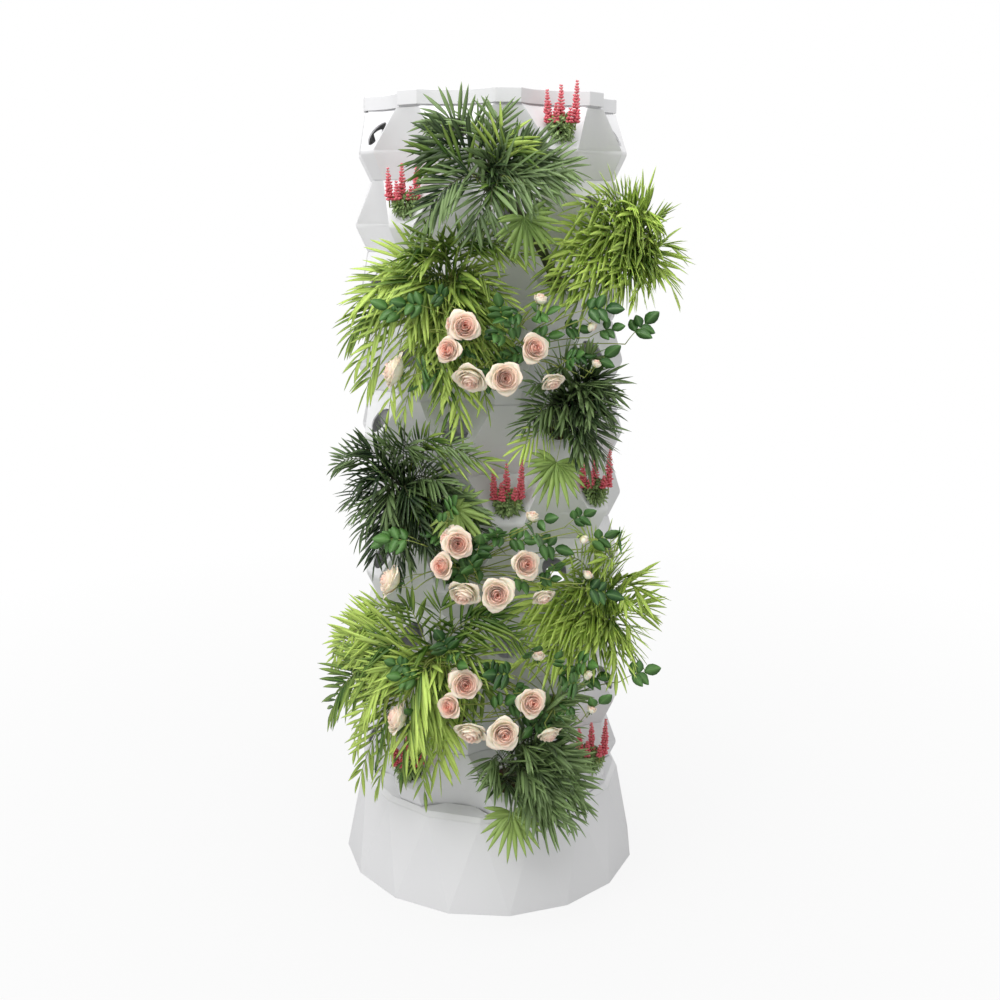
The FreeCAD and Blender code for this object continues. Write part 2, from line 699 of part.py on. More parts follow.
pipe_top = STACK_TOP - size("dish_drop")
dish_floor = pipe_top - size("dish_depth")
upper_tube = primitive("Prism", "upper_tube", Polygon="small_sides", Circumradius="pipe_radius")
upper_way = primitive("Prism", "upper_way", Polygon="small_sides", Circumradius="pipe_radius - pipe_wall")
stack_top = "(tank_height + cover_height - socket_depth + tiers * tier_pitch)"
for tube in (upper_tube, upper_way):
    bind(tube, Height="%s - dish_drop - pipe_joint" % stack_top, Placement__Base__z="pipe_joint")
part(cut("riser_upper", upper_tube, upper_way), "riser_upper")


# Distributor dish: a shallow dish on a collar round the pipe, with a drip hole for each pocket of the tier

def dish_shape():
    wall, radius, depth = size("dish_wall"), size("dish_radius"), size("dish_depth")
    sides = count("tank_corners")
    bore = size("pipe_radius") + size("seat_gap") / 4
    collar = small_rod(bore + size("bell_wall"), depth * 0.8)
    pan = taper(sides, radius * 0.9, 0, radius, depth)
    pan = pan.cut(taper(sides, radius * 0.9 - wall, wall, radius, depth + wall))
    holes = [small_rod(bore, 2 * depth, -depth / 2)]
    for k in range(count("pockets")):
        drip = prism(outline(6, size("drip_radius")), -wall, 2 * wall)
        drip.translate(polar(radius * 0.82, STEP * k + HALF, 0))
        holes.append(drip)
    return pan.fuse(collar).cut(holes).removeSplitter()


part(feature("distributor_dish", dish_shape(), Placement(Vector(0, 0, dish_floor), Rotation())),
     "distributor_dish")


def head_shape():
    """Spray head: a spigot in the pipe's end with outlets under a cap that spreads the water."""
    radius, tall = size("head_radius"), size("head_height")
    inside = size("pipe_radius") - size("pipe_wall") - size("seat_gap") / 4
    spigot = small_rod(inside, tall * 0.5 + 12, -12)
    cap = small_rod(radius, tall * 0.2, tall * 0.5)
    way = small_rod(inside - 2.5, tall * 0.5 + 12, -12)
    outlets = []
    for turn in (0, 90):
        outlet = Part.makeBox(2 * radius, 6, tall * 0.5 - 4, Vector(-radius, -3, 4))
        outlet.rotate(Vector(), UP, turn)
        outlets.append(outlet)
    return spigot.cut([way] + outlets).fuse(cap).removeSplitter()


part(feature("spray_head", head_shape(), Placement(Vector(0, 0, pipe_top), Rotation())), "spray_head")


# Drain tap: flanged barrel through the boss, nut inside, quarter-turn lever on top

def hexagon(across, thick):
    radius = across / math.sqrt(3)
    corners = [Vector(radius * math.cos(math.radians(60 * i)), radius * math.sin(math.radians(60 * i)), 0)
               for i in range(6)]
    return Part.Face(Part.makePolygon(corners + [corners[0]])).extrude(Vector(0, 0, thick))


def tap_body_shape():
    """Tap along +Z: barrel inside the tank, flange on the boss, body and hose barb outside, stem upright."""
    barrel_in = BOSS_DEEP + size("tank_wall") + size("nut_thick") + 4
    reach, flange = size("tap_reach"), size("flange_thick")
    barrel = small_rod(size("barrel_radius"), barrel_in + flange, -barrel_in)
    disc = small_rod(size("flange_radius"), flange)
    body = small_rod(size("barrel_radius") + 1, reach * 0.6, flange)
    nozzle = small_rod(size("tap_bore") + 2, reach - flange, flange)
    stem = Part.makeCylinder(size("stem_radius"), stem_top(), Vector(0, 0, stem_out()), stem_way())
    solid = barrel.fuse([disc, body, nozzle, stem])
    way = small_rod(size("tap_bore"), barrel_in + reach * 2, -barrel_in - 1)
    return solid.cut(way).removeSplitter()


def stem_out():
    return size("flange_thick") + size("tap_reach") * 0.3


def stem_top():
    return size("barrel_radius") + 10


def stem_way():
    """The upright, seen from the tap's own frame."""
    return Rotation(UP, polar(1, TAP_ANGLE, 0)).inverted().multVec(UP)


def lever_shape():
    """Lever of the tap, flat round its stem."""
    wide, long, thick = size("lever_width"), size("lever_length"), size("lever_thick")
    hub = small_rod(wide / 2 + size("stem_radius") / 2, thick)
    blade = Part.makeBox(wide, long, thick, Vector(-wide / 2, 0, 0))
    tip = small_rod(wide / 2, thick)
    tip.translate(Vector(0, long, 0))
    bore = Part.makeCylinder(size("stem_radius") + size("seat_gap") / 8, 3 * thick, Vector(0, 0, -thick))
    return hub.fuse([blade, tip]).cut(bore).removeSplitter()


tap_place = on_tap(Part.makeBox(1, 1, 1), TAP_FACE).Placement
part(feature("tap_body", tap_body_shape(), tap_place), "tap_body")
nut = hexagon(size("nut_across"), size("nut_thick"))
nut = nut.cut(small_rod(size("barrel_radius") + size("seat_gap") / 8, 3 * size("nut_thick"), -size("nut_thick")))
nut_in = BOSS_DEEP + size("nut_thick")
part(feature("tap_nut", nut, tap_place.multiply(Placement(Vector(0, 0, -nut_in), Rotation()))), "tap_nut")
lever_foot = size("tap_height") + stem_top() - size("lever_thick")
lever_place = Placement(polar(TAP_FACE + stem_out(), TAP_ANGLE, lever_foot), Rotation(UP, TAP_ANGLE - 90))
part(feature("tap_lever", lever_shape(), lever_place), "tap_lever")


def grommet_shape():
    """Rubber grommet: a bored plug through the tank's wall with a flange outside."""
    deep = size("tank_wall") + size("grommet_flange")
    plug_part = small_rod(size("grommet_radius") - size("seat_gap") / 4, deep, -deep)
    flange = small_rod(size("grommet_radius") + size("grommet_flange"), size("grommet_flange"))
    return plug_part.fuse(flange).cut(small_rod(size("grommet_bore"), 3 * deep, -1.5 * deep)).removeSplitter()


part(feature("cable_grommet", grommet_shape(), GROMMET_PLACE), "cable_grommet")


# Planted cups: a net cup in a planting hole, and the plant in it as one closed solid

def cup_shape():
    """Ribbed net cup, its rim on the pocket and its mouth at the origin, tapering along -Z."""
    sides = count("cup_sides")
    mouth = size("hole_radius") - size("seat_gap")
    rim, wall = size("cup_rim_thick"), size("cup_wall")
    foot, deep = size("cup_foot_radius"), size("cup_depth")

    body = taper(sides, foot, -deep, mouth, 0)
    flange = prism(outline(sides, size("hole_radius") + size("cup_rim_width")), 0, rim)
    inside = taper(sides, foot - wall, -deep + wall, mouth - wall, rim + 1)
    slots = []
    wide = size("cup_slot_width")
    for i in range(count("cup_slots")):
        slot = Part.makeBox(wide, mouth, deep * 0.55, Vector(-wide / 2, 0, -deep * 0.8))
        slot.rotate(Vector(), UP, 360 * (i / count("cup_slots") + 0.5 / sides))
        slots.append(slot)
    return body.fuse(flange).cut([inside] + slots)


CUP = cup_shape()


def cup_place(tier, degrees):
    """Placement of a cup, in the tower's frame; the angle is measured on the tower and not on the tier."""
    level = tier_place(tier).Base.z
    return Placement(Vector(0, 0, level), Rotation()).multiply(pocket_place(degrees))


def plug():
    """Root ball inside a cup, in the cup's frame."""
    gap, wall = 2 * size("seat_gap"), size("cup_wall")
    sides = count("cup_sides")
    mouth = size("hole_radius") - size("seat_gap") - wall - gap
    foot = size("cup_foot_radius") - wall - gap
    floor = -size("cup_depth") + wall + gap / 2
    return taper(sides, foot, floor, mouth, size("cup_rim_thick") + 2)


def ball(centre, radius, sides=6, squash=1.0, direction=UP):
    """Faceted ball: two rings and two points."""
    rings = []
    for turn in (-28, 28):
        along = centre + direction * (radius * squash * math.sin(math.radians(turn)))
        rings.append(polygon_ring(along, direction, radius * math.cos(math.radians(turn)), sides))
    reach = direction * (radius * squash)
    return hull_of_rings(rings, centre - reach, centre + reach)


def halfway(start, tip, lift, reach=0.0):
    """A point midway round the tower between two points, raised by a lift and moved out by a reach."""
    turns = [math.atan2(point.x, -point.y) for point in (start, tip)]
    radii = [math.hypot(point.x, point.y) for point in (start, tip)]
    return polar(sum(radii) / 2 + reach, math.degrees(sum(turns)) / 2, (start.z + tip.z) / 2 + lift)


def bow(start, middle, tip, share):
    """A point on the arched line from start through a middle point to the tip."""
    handle = middle * 2 - (start + tip) * 0.5
    return start * (1 - share) ** 2 + handle * (2 * share * (1 - share)) + tip * share ** 2


def frond(start, tip, lift, width):
    """Blade of one frond: narrow at its stalk, widest past the middle, pointed at its tip."""
    middle = halfway(start, tip, lift)
    facing = Vector(middle.x, middle.y, 0)
    facing.normalize()
    facing = facing + UP
    thick = size("leaf_thick")
    rings = []
    for share, broad in ((0.0, 0.12), (0.3, 0.45), (0.55, 1.0), (0.8, 0.8)):
        here = bow(start, middle, tip, share)
        along = bow(start, middle, tip, share + 0.05) - bow(start, middle, tip, share - 0.05)
        side = along.cross(facing)
        side.normalize()
        face = side.cross(along)
        face.normalize()
        half = max(width * broad / 2, thick)
        rings.append([here + side * half, here + face * (thick / 2), here - side * half, here - face * (thick / 2)])
    return hull_of_rings(rings, None, tip, True)


def joined(first, others):
    solid = first.fuse(others)
    return solid.removeSplitter()


def plant_base(tier, degrees):
    """Root ball and crown over a cup, in the tower's frame, with the point that the plant grows from."""
    place = cup_place(tier, degrees)
    root = plug()
    root.Placement = place
    axis = place.Rotation.multVec(UP)
    crown_at = place.Base + axis * (size("cup_rim_thick") + size("crown_radius") * 0.8)
    crown = ball(crown_at, size("crown_radius"), 8, 0.95, axis)
    return joined(root, [crown]), crown_at


def stalk(points, thick):
    """A bent stalk through a few points."""
    rings = []
    for i, point in enumerate(points):
        along = points[min(i + 1, len(points) - 1)] - points[max(i - 1, 0)]
        along.normalize()
        rings.append(polygon_ring(point, along, thick / 2, 3))
    return hull_of_rings(rings, None, None, True)


def palm(tier, degrees, heart, tips):
    """Palm in a pocket; its fronds part at the heart, if it stands on stalks, or over the cup.

    The heart is its distance from the axis, angle and height above the stack's foot; a tip adds its arch's lift.
    """
    base, parting = plant_base(tier, degrees)
    level = Vector(0, 0, STACK_FOOT)
    pieces = []
    if heart is not None:
        crown_at, parting = parting, polar(*heart) + level
        pieces = [stalk([crown_at, parting], size("stalk_thick")), ball(parting, size("heart_radius"))]
    for radius, angle, height, lift in tips:
        pieces.append(frond(parting, polar(radius, angle, height) + level, lift, size("frond_width")))
    return joined(base, pieces)


def rose(tier, degrees, centre_angle, centre_height):
    """Rose spray in a pocket: open roses and buds on stems that part from one crown."""
    base, crown_at = plant_base(tier, degrees)
    pieces = []
    for turn, rise, reach, radius in ROSE_SPRAY:
        at = polar(size("spray_radius") + reach, centre_angle + turn, STACK_FOOT + centre_height + rise)
        outward = polar(1, centre_angle + turn, 0.3)
        outward.normalize()
        head = size("bloom_radius") if radius == "bloom" else size("bud_radius")
        pieces.append(ball(at, head, 6, 0.8, outward))
        neck = at - outward * (head * 0.5)
        pieces.append(stalk([crown_at, halfway(crown_at, neck, 0, size("stem_reach")), neck], size("stem_thick")))
    return joined(base, pieces)


def lupin(tier, degrees):
    """Flower spikes in a pocket: three tall spikes and a short one over a round leafy foot."""
    base, crown_at = plant_base(tier, degrees)
    spikes = []
    for across, out, share in ((-17, 0, 0.78), (-3, -3, 0.92), (13, 0, 1.0), (-7, 9, 0.5)):
        foot = crown_at + beside(across, out, degrees, 6)
        tall = size("spike_height") * share
        radius = size("spike_radius")
        rings = [polygon_ring(foot, UP, radius * 0.8, 5), polygon_ring(foot + UP * tall * 0.35, UP, radius, 5)]
        spikes.append(hull_of_rings(rings, None, foot + UP * tall))
    return joined(base, spikes)


# Rose spray about its own centre: turn round the tower, height, distance from the others, and size

ROSE_SPRAY = [
    (-33.5, -30, -10, "bloom"), (-10.5, 64, 0, "bloom"), (-15, 21, 8, "bloom"), (-9, -31, 0, "bloom"),
    (1, -25, 12, "bloom"), (9.5, 25, 0, "bloom"), (14.5, -39, 6, "bloom"), (12, 109, -16, "bud"),
    (29, 51, -14, "bud"), (30.5, -21, -10, "bud"),
]

# Plants: the tier and the pocket's angle, then what places the foliage, heights counted from the stack's foot

PALMS = [
    (3, 22.5, (310, -7, 1207), [(305, -30, 1337, 10), (300, -5, 1341, 0), (370, 19, 1233, 20), (370, -30, 1163, 20),
                                (400, -4, 1103, 30)]),
    (3, -22.5, None, [(385, -54, 977, 40), (390, -51, 852, 50), (330, -36, 1112, 20), (310, -14, 1109, 10),
                      (330, -57, 816, 50), (312, 0, 1026, 10)]),
    (3, 67.5, None, [(392, 67, 1100, 20), (398, 59, 1005, 30), (345, 45, 1196, 10), (330, 20, 1141, 20),
                     (340, 36, 1069, 20)]),
    (5, 22.5, None, [(370, 33, 717, 20), (350, 33, 836, 10), (380, 11, 701, 20)]),
    (6, -45, None, [(368, -65, 702, 20), (340, -45, 761, 10), (320, -15, 753, 20), (350, -47, 541, 30)]),
    (8, 45, None, [(372, 57, 420, 20), (380, 41, 307, 30), (315, 35, 576, 0), (312, 20, 453, 0)]),
    (9, -22.5, (300, -28, 341), [(364, -78, 147, 60), (360, -64, 355, 20), (335, -66, 116, 60),
                                 (312, -36, 445, 0), (312, -4, 401, 25)]),
    (10, 0, None, [(400, -1, 70, 20), (390, 21, 46, 30), (370, 27, 117, 20)]),
]
ROSES = [(4, 0, -4, 901), (7, -22.5, -6, 517), (9, 22.5, -4, 259)]
LUPINS = [(1, 22.5), (2, -45), (6, 0), (6, 45), (10, -45), (10, 45)]

for kind, plants, maker in (("palm", PALMS, palm), ("rose", ROSES, rose), ("lupin", LUPINS, lupin)):
    for number, plant in enumerate(plants, start=1):
        cup_label = "%s_cup_%d" % (kind, number)
        part(feature(cup_label, CUP.copy(), cup_place(plant[0], plant[1])), cup_label)
        plant_label = "%s_plant_%d" % (kind, number)
        part(feature(plant_label, maker(*plant)), plant_label)

doc.recompute()

# Checks before anything is written

for item in doc.Objects:
    if "Invalid" in item.State or "Error" in item.State:
        raise RuntimeError("%s did not recompute" % item.Label)
for item in PARTS:
    if item.Shape.isNull() or not item.Shape.isValid() or item.Shape.Volume <= 0:
        raise RuntimeError("%s has no valid shape" % item.Label)

os.makedirs("parts", exist_ok=True)
for item in PARTS:
    item.Shape.exportStep(os.path.join("parts", item.Label + ".step"))
print("%d parts" % len(PARTS))
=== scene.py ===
"""Vertical planter tower: smooth moulded tiers on a faceted water base, planted with palms, roses and lupins.

Lengths are in metres and angles go round the tower from its front, -Y, towards +X.
"""

import json
import math
import random

import bpy
from bpy.props import FloatProperty, FloatVectorProperty, IntProperty, PointerProperty
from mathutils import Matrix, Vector

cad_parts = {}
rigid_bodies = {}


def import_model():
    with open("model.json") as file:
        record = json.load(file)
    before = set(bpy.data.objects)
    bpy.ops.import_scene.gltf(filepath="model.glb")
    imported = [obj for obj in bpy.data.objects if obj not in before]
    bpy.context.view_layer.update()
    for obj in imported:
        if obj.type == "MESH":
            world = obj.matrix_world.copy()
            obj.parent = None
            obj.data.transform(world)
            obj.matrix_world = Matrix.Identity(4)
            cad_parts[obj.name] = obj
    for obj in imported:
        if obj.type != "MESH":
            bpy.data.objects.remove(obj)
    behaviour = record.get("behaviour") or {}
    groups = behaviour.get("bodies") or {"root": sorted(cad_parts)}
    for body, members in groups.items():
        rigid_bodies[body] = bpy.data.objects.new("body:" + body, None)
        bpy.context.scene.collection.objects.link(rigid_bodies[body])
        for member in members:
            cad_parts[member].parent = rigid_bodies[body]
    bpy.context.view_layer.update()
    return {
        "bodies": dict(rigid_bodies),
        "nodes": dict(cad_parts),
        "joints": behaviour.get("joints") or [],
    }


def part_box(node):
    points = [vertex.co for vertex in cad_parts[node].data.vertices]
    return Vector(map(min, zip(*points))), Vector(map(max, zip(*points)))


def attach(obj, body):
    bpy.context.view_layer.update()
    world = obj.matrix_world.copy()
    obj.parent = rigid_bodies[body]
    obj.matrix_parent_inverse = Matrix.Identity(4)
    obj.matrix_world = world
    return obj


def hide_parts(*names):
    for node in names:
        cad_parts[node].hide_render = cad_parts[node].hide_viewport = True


bl_info = {
    "name": "Planter Tower Finish",
    "version": (1, 0, 0),
    "blender": (4, 5, 0),
    "location": "View3D > Sidebar > Planter",
    "description": "Moulded tiers, net cups and plants round a packed planter tower",
    "category": "Object",
}

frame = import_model()
UP = Vector((0, 0, 1))


# What the frame says about the stack

TIERS = sorted(name for name in frame["nodes"] if name.startswith("tier_"))
PIPE_TO_RIM = 0.062
STACK_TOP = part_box("riser_upper")[1].z + PIPE_TO_RIM
TIER_PITCH = (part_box(TIERS[0])[1].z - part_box(TIERS[-1])[1].z) / (len(TIERS) - 1)
STACK_FOOT = STACK_TOP - TIER_PITCH * len(TIERS)


# Sizes and colours that a user may change

def length(name, value, description):
    return FloatProperty(name=name, description=description, default=value, min=0, unit="LENGTH", precision=4)


def number(name, value, description, least=3):
    return IntProperty(name=name, description=description, default=value, min=least)


def colour(name, value, description):
    return FloatVectorProperty(name=name, description=description, default=value, size=3, min=0, max=1,
                               subtype="COLOR")


class PlanterShellSizes(bpy.types.PropertyGroup):
    """The moulded tiers and the lid."""
    pockets: number("Pockets", 8, "Pockets round one tier")
    foot_apothem: length("Foot apothem", 0.242, "Axis to the narrow edges at a tier's foot")
    foot_width: length("Foot width", 0.046, "Length of those narrow edges")
    valley: length("Valley", 0.0256, "How far a long edge curves in")
    lip_apothem: length("Lip apothem", 0.264, "Axis to a pocket's lip")
    lip_width: length("Lip width", 0.060, "Length of a pocket's lip")
    lip_height: length("Lip height", 0.054, "Lip above the tier's foot")
    lip_band: length("Lip band", 0.006, "Upright band under the lip")
    wall: length("Wall", 0.003, "Moulded wall")
    hole_radius: length("Hole", 0.026, "Planting hole")
    hole_offset: length("Hole offset", 0.038, "Lip to the middle of a planting hole, up the pocket")
    ridge: length("Ridge", 0.0014, "Rounding of the moulded ridges")
    groove: length("Groove", 0.0020, "Depth of the joint between two tiers")
    neck: length("Neck", 0.0045, "Depth of the step under the lid's skirt")
    lid_height: length("Lid height", 0.023, "Lid above the top tier")
    lid_margin: length("Lid margin", 0.0034, "Lid's skirt beyond the top tier")
    lid_overlap: length("Lid overlap", 0.003, "Skirt below the top tier's rim")
    lid_crown: length("Lid crown", 0.006, "Rise of the lid's middle")
    base_bevel: length("Base bevel", 0.0016, "Rounding of the water base's creases and rim")


class PlanterCupSizes(bpy.types.PropertyGroup):
    """The net cups."""
    mouth: length("Mouth", 0.0252, "Radius of a cup at its mouth")
    foot: length("Foot", 0.0176, "Radius of a cup at its foot")
    depth: length("Depth", 0.050, "Rim to foot")
    rim: length("Rim", 0.0292, "Radius of the rim")
    ribs: number("Ribs", 16, "Upright ribs of a cup")


class PlanterPalmSizes(bpy.types.PropertyGroup):
    """The fronds."""
    leaflet: length("Leaflet", 0.088, "Longest leaflet of a bright frond")
    leaflet_width: length("Leaflet width", 0.0078, "Width of that leaflet")
    rachis: length("Rachis", 0.0016, "Radius of a frond's rib at its foot")
    pairs: number("Leaflet pairs", 9, "Pairs of leaflets on a long frond")
    fan_leaves: number("Fan leaves", 17, "Leaflets of a fan")
    inner: number("Inner fronds", 12, "Fronds that fill a palm's middle", 0)
    clearance: length("Clearance", 0.269, "Leaves keep this far from the tower's axis")


class PlanterRoseSizes(bpy.types.PropertyGroup):
    """The rose sprays."""
    bloom: length("Bloom", 0.0238, "Radius of an open rose without its curled rims")
    bud: length("Bud", 0.0125, "Radius of a bud")
    petals: number("Petals", 26, "Petals of an open rose", 5)
    stem: length("Stem", 0.0016, "Radius of a stem")
    leaf: length("Leaf", 0.034, "Length of a leaf")
    spray: length("Spray", 0.370, "Axis to the middle of a rose")


class PlanterLupinSizes(bpy.types.PropertyGroup):
    """The flower spikes."""
    spike: length("Spike", 0.074, "Tallest spike")
    spike_radius: length("Spike radius", 0.0088, "Radius of a spike at its foot")
    leaf: length("Leaf", 0.017, "Length of a leaf finger")


class PlanterColours(bpy.types.PropertyGroup):
    """Colours of the finishes."""
    shell: colour("Shell", (0.80, 0.80, 0.81), "Moulded tiers, base and lid")
    cup: colour("Cup", (0.74, 0.74, 0.73), "Net cups")
    bright_leaf: colour("Bright leaf", (0.038, 0.120, 0.008), "Shaded parts of the bright palms")
    bright_tip: colour("Bright tip", (0.62, 0.82, 0.17), "Sunlit parts of the bright palms")
    dark_leaf: colour("Dark leaf", (0.008, 0.030, 0.009), "Shaded parts of the dark palms")
    dark_tip: colour("Dark tip", (0.25, 0.37, 0.14), "Sunlit parts of the dark palms")
    fan_leaf: colour("Fan leaf", (0.090, 0.190, 0.025), "Shaded parts of the fans")
    fan_tip: colour("Fan tip", (0.36, 0.52, 0.13), "Sunlit parts of the fans")
    rose_leaf: colour("Rose leaf", (0.018, 0.075, 0.014), "Shaded rose leaves")
    rose_leaf_tip: colour("Rose leaf tip", (0.10, 0.24, 0.055), "Sunlit rose leaves")
    rose_heart: colour("Rose heart", (0.93, 0.42, 0.31), "Middle of an open rose")
    rose_blush: colour("Rose blush", (0.98, 0.70, 0.58), "Inner petals")
    rose_cream: colour("Rose cream", (0.98, 0.92, 0.76), "Outer petals")
    lupin: colour("Lupin", (0.66, 0.022, 0.075), "Florets")
    lupin_tip: colour("Lupin tip", (0.92, 0.24, 0.28), "Florets at a spike's end")


class PlanterStage(bpy.types.PropertyGroup):
    """Lights, floor and camera."""
    sky: FloatProperty(name="Sky", description="Soft light from all round", default=0.74, min=0)
    key: FloatProperty(name="Key", description="Lamp at the front left", default=78, min=0, unit="POWER")
    top: FloatProperty(name="Top", description="Lamp overhead", default=105, min=0, unit="POWER")
    lens: FloatProperty(name="Lens", description="Focal length in millimetres", default=42.94, min=1)
    tilt: FloatProperty(name="Tilt", description="Camera below the horizon", default=math.radians(8.445),
                        subtype="ANGLE")
    turn: FloatProperty(name="Turn", description="Camera's turn about the upright",
                        default=math.radians(-6.936), subtype="ANGLE")
    place: FloatVectorProperty(name="Place", description="Where the camera stands", subtype="XYZ",
                               unit="LENGTH", default=(-0.3015, -2.3597, 1.3177))
    shift: FloatVectorProperty(name="Shift", description="Lens shift of the photograph's framing",
                               size=2, default=(0.0169, -0.1122))


def settings(name):
    return getattr(bpy.context.scene, "planter_" + name)


# Places and meshes

def polar(radius, degrees, height):
    turn = math.radians(degrees)
    return Vector((radius * math.sin(turn), -radius * math.cos(turn), height))


def beside(across, out, degrees, height):
    """A point across and out from the axis, in the upright plane that faces an angle."""
    turn = math.radians(degrees)
    x = across * math.cos(turn) + out * math.sin(turn)
    return Vector((x, across * math.sin(turn) - out * math.cos(turn), height))


def angle_of(point):
    return math.degrees(math.atan2(point.x, -point.y))


def radius_of(point):
    return math.hypot(point.x, point.y)


def outwards(point):
    """The level way from the tower's axis through a point."""
    return Vector((point.x, point.y, 0)).normalized()


def lerp(low, high, part):
    return low + (high - low) * part


def clamp(value, low=0.0, high=1.0):
    return min(max(value, low), high)


def frame_along(direction, facing):
    """Unit vectors along, sideways and out of the face."""
    along = direction.normalized()
    side = along.cross(facing)
    if side.length < 1e-4:
        side = along.orthogonal()
    side.normalize()
    return along, side, side.cross(along)


def sideways(axis):
    """Two unit vectors square to an axis and to each other."""
    side = axis.orthogonal().normalized()
    return side, axis.cross(side)


def spun(side, other, turn):
    return side * math.cos(turn) + other * math.sin(turn)


def shaken(chance, reach):
    return Vector([chance.uniform(-reach, reach) for _ in range(3)])


class Shape:
    """Corners, faces and finishes of one piece, with a growth value on each corner for its finish."""

    def __init__(self):
        self.points = []
        self.faces = []
        self.slots = []
        self.growth = []

    def add(self, points, faces, growth, slot=0):
        first = len(self.points)
        self.points.extend(points)
        self.growth.extend(growth)
        self.faces.extend(tuple(first + i for i in face) for face in faces)
        self.slots.extend([slot] * len(faces))

    def build(self, name, finishes, sharp=None):
        mesh = bpy.data.meshes.new(name)
        mesh.from_pydata([tuple(point) for point in self.points], [], self.faces)
        for finish in finishes:
            mesh.materials.append(finish)
        mesh.polygons.foreach_set("material_index", self.slots)
        layer = mesh.attributes.new("growth", "FLOAT_COLOR", "POINT")
        layer.data.foreach_set("color", [value for grown in self.growth for value in (*grown, 1.0)])
        mesh.validate()
        soften(mesh, sharp)
        piece = bpy.data.objects.new(name, mesh)
        bpy.context.scene.collection.objects.link(piece)
        return piece


def soften(mesh, sharp):
    """Smooth shading, with edges over an angle in degrees left sharp."""
    mesh.polygons.foreach_set("use_smooth", [True] * len(mesh.polygons))
    if sharp is not None:
        mesh.set_sharp_from_angle(angle=math.radians(sharp))


def applied(piece, name):
    """The piece's mesh with its modifiers worked in."""
    shown = piece.evaluated_get(bpy.context.evaluated_depsgraph_get())
    mesh = bpy.data.meshes.new_from_object(shown)
    mesh.name = name
    piece.modifiers.clear()
    piece.data = mesh
    return piece


def quads(levels, sides):
    """Faces between closed rings that have as many corners each and follow each other."""
    faces = []
    for i in range(levels - 1):
        for k in range(sides):
            n = (k + 1) % sides
            faces.append((i * sides + k, i * sides + n, (i + 1) * sides + n, (i + 1) * sides + k))
    return faces


def caps(levels, sides):
    """Faces that close the first and the last ring."""
    return [tuple(range(sides - 1, -1, -1)), tuple(range((levels - 1) * sides, levels * sides))]


def tube(shape, points, radii, sides, slot, chance=0.5):
    """A closed round rod through points."""
    corners, growth = [], []
    last = len(points) - 1
    side = None
    for i, point in enumerate(points):
        along = (points[min(i + 1, last)] - points[max(i - 1, 0)]).normalized()
        if side is None:
            side = along.orthogonal()
        side = (side - along * side.dot(along)).normalized()
        other = along.cross(side)
        for k in range(sides):
            corners.append(point + spun(side, other, math.tau * k / sides) * radii[i])
            growth.append((i / last, 0.0, chance))
    shape.add(corners, quads(last + 1, sides) + caps(last + 1, sides), growth, slot)


def revolve(shape, place, axis, profile, sides, slot, bumps=0.0, seed=0):
    """A closed ring or dome: the closed outline of radius and height is turned round an axis."""
    side, other = sideways(axis)
    chance = random.Random(seed)
    corners, growth, faces = [], [], []
    count = len(profile)
    for k in range(sides):
        out = spun(side, other, math.tau * k / sides)
        for n, (radius, height) in enumerate(profile):
            lift = chance.uniform(-bumps, bumps) if bumps and radius > 0 else 0.0
            corners.append(place + out * radius + axis * (height + lift))
            growth.append((n / count, k / sides, chance.random() if bumps else 0.5))
    for k in range(sides):
        n = (k + 1) % sides
        for i in range(count):
            j = (i + 1) % count
            faces.append((k * count + i, n * count + i, n * count + j, k * count + j))
    shape.add(corners, faces, growth, slot)


# Blade outlines: half width as a share, at a share of the length

LANCE = ((0.0, 0.22), (0.18, 0.72), (0.42, 1.0), (0.68, 0.82), (0.88, 0.42))
OVATE = ((0.0, 0.14), (0.14, 0.66), (0.34, 1.0), (0.58, 0.94), (0.80, 0.58), (0.93, 0.26))
FINGER = ((0.0, 0.25), (0.35, 0.8), (0.7, 1.0))


def blade(shape, root, direction, facing, long, wide, slot, chance, outline=LANCE, droop=0.0, fold=0.35,
          clear=None):
    """A leaf as a thin closed body with a folded midrib, pointed at its end, drooping under its weight."""
    along, side, face = frame_along(direction, facing)
    thick = max(0.05 * wide, 0.00035)
    corners, growth = [], []
    for part, broad in outline:
        centre = root + along * (long * part) - UP * (droop * long * part * part)
        half = wide / 2 * broad
        corners += [centre - side * half + face * (half * fold), centre + face * thick,
                    centre + side * half + face * (half * fold), centre - face * thick]
        growth += [(part, 1.0, chance), (part, 0.0, chance), (part, 1.0, chance), (part, 0.3, chance)]
    corners.append(root + along * long - UP * (droop * long))
    growth.append((1.0, 0.2, chance))
    tip = len(corners) - 1
    faces = [(3, 2, 1, 0)] + quads(len(outline), 4)
    faces += [(tip - 4 + k, tip - 4 + (k + 1) % 4, tip) for k in range(4)]
    if clear is not None:
        corners = [pushed(corner, clear) for corner in corners]
    shape.add(corners, faces, growth, slot)


def pushed(point, clear):
    """The point moved outwards until it is clear of the tower."""
    radius = radius_of(point)
    if radius >= clear or radius < 1e-6:
        return point
    grow = (clear + (radius - clear) * 0.04) / radius
    return Vector((point.x * grow, point.y * grow, point.z))


# Finishes

class Wire:
    """A socket of a finish; arithmetic on it adds Math nodes."""

    def __init__(self, finish, socket):
        self.finish = finish
        self.socket = socket

    def maths(self, operation, first, second):
        return self.finish.add("ShaderNodeMath", {"operation": operation}, {0: first, 1: second})

    def __add__(self, other):
        return self.maths("ADD", self, other)

    __radd__ = __add__

    def __sub__(self, other):
        return self.maths("SUBTRACT", self, other)

    def __rsub__(self, other):
        return self.maths("SUBTRACT", other, self)

    def __mul__(self, other):
        return self.maths("MULTIPLY", self, other)

    __rmul__ = __mul__

    def either(self, other):
        return self.maths("MAXIMUM", self, other)


